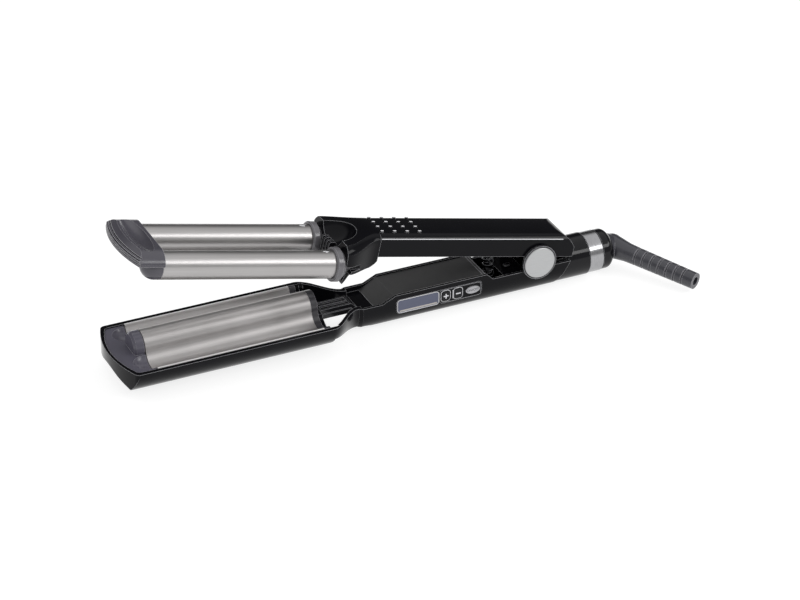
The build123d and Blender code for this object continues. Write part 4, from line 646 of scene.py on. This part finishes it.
# thin grey ring on each hinge bezel: a painted highlight round its edge
def add_bezel_highlight_lines():
    for name, outward in (("hinge_bezel_near", -Y_AXIS), ("hinge_bezel_far", Y_AXIS)):
        low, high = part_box(name)
        face_y = low.y if outward.y < 0 else high.y
        centre = Vector(((low.x + high.x) / 2, face_y, (low.z + high.z) / 2))
        path = circle_path(centre, (high.x - low.x) / 2 - BEZEL_LINE_INSET)
        bead(name + "_line", "root", line_grey, path, outward, BEZEL_LINE)


def add_grip_highlight_lines():
    """Fine bright bead along both ridges of the upper handle, a painted highlight on each ridge."""
    turned = ARM.to_3x3()
    for name, side in (("near", -1), ("far", 1)):
        lift = Vector((0.0, side * math.cos(GRIP_LINE_TILT), math.sin(GRIP_LINE_TILT)))
        ridge = Vector((GRIP_LINE_START, side * GRIP_LINE_SIDE, GRIP_LINE_HEIGHT))
        start = ridge - lift * SINK
        end = Vector((GRIP_LINE_END, start.y, start.z))
        path = straight_path(ARM @ start, ARM @ end, turned @ lift.cross(X_AXIS))
        bead(
            f"grip_highlight_line_{name}", "upper_arm", print_and_highlight_pale, path, turned @ lift,
            GRIP_LINE, closed=False,
        )


# two grey lines across the cover's rear end: painted highlights on the edges of its lip
def add_cover_highlight_lines():
    low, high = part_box("lower_cover")
    for index, inset in enumerate(COVER_LINE_INSETS):
        start = Vector((high.x - inset, low.y + COVER_LINE_SIDE, high.z))
        end = Vector((high.x - inset, high.y - COVER_LINE_SIDE, high.z))
        path = straight_path(start, end, X_AXIS)
        bead(
            f"cover_line_{index}", "root", line_grey, path, Z_AXIS,
            COVER_LINE, closed=False,
        )


def add_plate_edge_highlights():
    """Bright bead along both rims of the tray, a painted highlight on the plate's edge."""
    low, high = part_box("wave_plate")
    for name, y in (("near", low.y + PLATE_LIP_INSET), ("far", high.y - PLATE_LIP_INSET)):
        start = Vector((low.x, y, PLATE_EDGE_Z))
        end = Vector((high.x, y, PLATE_EDGE_Z))
        path = straight_path(start, end, Y_AXIS)
        bead(
            f"plate_edge_highlight_{name}", "root", edge_highlight_metal, path, Z_AXIS,
            PLATE_LIP, closed=False,
        )


def add_rivets():
    """Flat oval rivet on top of each barrel, close to its collar."""
    for name, side in (("barrel_near", -BARREL_SIDE), ("barrel_far", BARREL_SIDE)):
        vertices = []
        faces = []
        for ring in range(RIVET_RINGS):
            rise = math.pi / 2 * ring / RIVET_RINGS
            for step in range(RIVET_STEPS):
                angle = math.tau * step / RIVET_STEPS
                x = RIVET_X + RIVET_LENGTH / 2 * math.cos(rise) * math.cos(angle)
                y = RIVET_WIDTH / 2 * math.cos(rise) * math.sin(angle)
                curve = math.sqrt(BARREL_RADIUS**2 - y**2)
                z = curve - SINK + RIVET_HEIGHT * math.sin(rise)
                vertices.append(ARM @ Vector((x, side + y, z)))
        for ring in range(RIVET_RINGS - 1):
            for step in range(RIVET_STEPS):
                here = ring * RIVET_STEPS + step
                beside = ring * RIVET_STEPS + (step + 1) % RIVET_STEPS
                faces.append((here, beside, beside + RIVET_STEPS, here + RIVET_STEPS))
        faces.append(tuple(range((RIVET_RINGS - 1) * RIVET_STEPS, RIVET_RINGS * RIVET_STEPS)))
        add_piece(name + "_rivet", "upper_arm", steel, vertices, faces)


# ---------------------------------------------------------------- stage and light
FLOOR_Z = -0.2 * MM
FLOOR_HALF = 6.0
FLOOR_COLOURS = ((0.88, 0.88, 0.88), (0.92, 0.92, 0.92))
FLOOR_DRIFT = (3.0, 2.0)
FLOOR_ROUGH = 0.9
FLOOR_SPECULAR = 0.1
FLOOR_GLOW = 1.35  # seen by the camera and in gloss, so that the floor shows as white
FLOOR_GLOW_SHARE = 0.6
SOFT_LIGHT = 0.75
STUDIO_BANDS = ((0.0, 1.0), (0.02, 1.0), (0.10, 0.0), (0.50, 0.0), (0.78, 1.0))
SKY_DARK_BACK = 0.06  # the least that the studio shows, behind the object and in front of it
SKY_DARK_FRONT = 0.42
SKY_TURN = 0.3  # the one passes into the other between this far behind and this far in front
LAMP_DIRECTION = Vector((0.619, -0.543, 0.567))
LAMP_DISTANCE = 1.6
LAMP_SIZE = (0.9, 0.36)
LAMP_POWER = 6.0


def seen_directly(tree):
    """1 for camera, glossy and transmission rays, 0 for the light that falls on the object."""
    path = add_node(tree, "ShaderNodeLightPath")
    seen = path.outputs["Is Camera Ray"]
    for kind in ("Is Glossy Ray", "Is Transmission Ray"):
        either = add_node(tree, "ShaderNodeMath", operation="MAXIMUM")
        tree.links.new(seen, either.inputs[0])
        tree.links.new(path.outputs[kind], either.inputs[1])
        seen = either.outputs[0]
    return seen


def add_floor():
    half = FLOOR_HALF
    corners = [(x * half, y * half, FLOOR_Z) for x, y in ((-1, -1), (1, -1), (1, 1), (-1, 1))]
    mesh = bpy.data.meshes.new("floor")
    mesh.from_pydata(corners, [], [(0, 1, 2, 3)])
    floor = bpy.data.objects.new("floor", mesh)
    scene.collection.objects.link(floor)
    m = Nodes("floor_white")
    m.drive("Base Color", m.colours(m.noise(*FLOOR_DRIFT), *FLOOR_COLOURS))
    m.set(Roughness=FLOOR_ROUGH, Specular_IOR_Level=FLOOR_SPECULAR)
    share = m.new("ShaderNodeMath", operation="MULTIPLY")
    share.inputs[1].default_value = FLOOR_GLOW_SHARE
    m.link(seen_directly(m.tree), share.inputs[0])
    glow = m.new("ShaderNodeEmission")
    glow.inputs["Strength"].default_value = FLOOR_GLOW
    mix = m.new("ShaderNodeMixShader")
    m.link(share.outputs[0], mix.inputs["Fac"])
    m.link(m.shader.outputs[0], mix.inputs[1])
    m.link(glow.outputs[0], mix.inputs[2])
    m.link(mix.outputs[0], m.tree.nodes["Material Output"].inputs["Surface"])
    mesh.materials.append(m.material)


def add_world():
    """Even soft light on the object.

    What is seen and mirrored is a studio, white at the horizon and overhead.
    """
    world = bpy.data.worlds.new("studio")
    world.use_nodes = True
    tree = world.node_tree
    tree.nodes.clear()
    link = tree.links.new

    def new(kind, **settings):
        return add_node(tree, kind, **settings)

    soft = new("ShaderNodeBackground")
    studio = new("ShaderNodeBackground")
    for background in (soft, studio):
        background.inputs["Color"].default_value = (1.0, 1.0, 1.0, 1.0)
    soft.inputs["Strength"].default_value = SOFT_LIGHT

    axes = new("ShaderNodeSeparateXYZ")
    link(new("ShaderNodeTexCoord").outputs["Generated"], axes.inputs[0])
    band = new("ShaderNodeValToRGB")
    elements = band.color_ramp.elements
    band.color_ramp.interpolation = "EASE"
    elements[0].position = STUDIO_BANDS[0][0]
    elements[1].position = STUDIO_BANDS[-1][0]
    for position, _ in STUDIO_BANDS[1:-1]:
        elements.new(position)
    for element, (_, value) in zip(elements, STUDIO_BANDS):
        element.color = (value, value, value, 1.0)
    link(axes.outputs["Z"], band.inputs["Fac"])
    dark = new("ShaderNodeMapRange")
    dark.inputs["From Min"].default_value = -SKY_TURN
    dark.inputs["From Max"].default_value = SKY_TURN
    dark.inputs["To Min"].default_value = SKY_DARK_FRONT
    dark.inputs["To Max"].default_value = SKY_DARK_BACK
    link(axes.outputs["Y"], dark.inputs["Value"])
    lit = new("ShaderNodeMath", operation="MAXIMUM")
    link(band.outputs["Color"], lit.inputs[0])
    link(dark.outputs["Result"], lit.inputs[1])
    link(lit.outputs[0], studio.inputs["Strength"])

    mix = new("ShaderNodeMixShader")
    link(seen_directly(tree), mix.inputs["Fac"])
    link(soft.outputs[0], mix.inputs[1])
    link(studio.outputs[0], mix.inputs[2])
    link(mix.outputs[0], new("ShaderNodeOutputWorld").inputs["Surface"])
    scene.world = world


def add_lamp():
    data = bpy.data.lights.new("key", "AREA")
    data.shape = "RECTANGLE"
    data.size, data.size_y = LAMP_SIZE
    data.energy = LAMP_POWER
    light = bpy.data.objects.new("key", data)
    towards = LAMP_DIRECTION.normalized()
    light.location = TARGET + towards * LAMP_DISTANCE
    light.rotation_euler = towards.to_track_quat("Z", "Y").to_euler()
    scene.collection.objects.link(light)


add_camera()
finish_nodes()
add_panel_trim()
add_power_label()
add_bezel_highlight_lines()
add_grip_highlight_lines()
add_cover_highlight_lines()
add_plate_edge_highlights()
add_rivets()
add_floor()
add_world()
add_lamp()
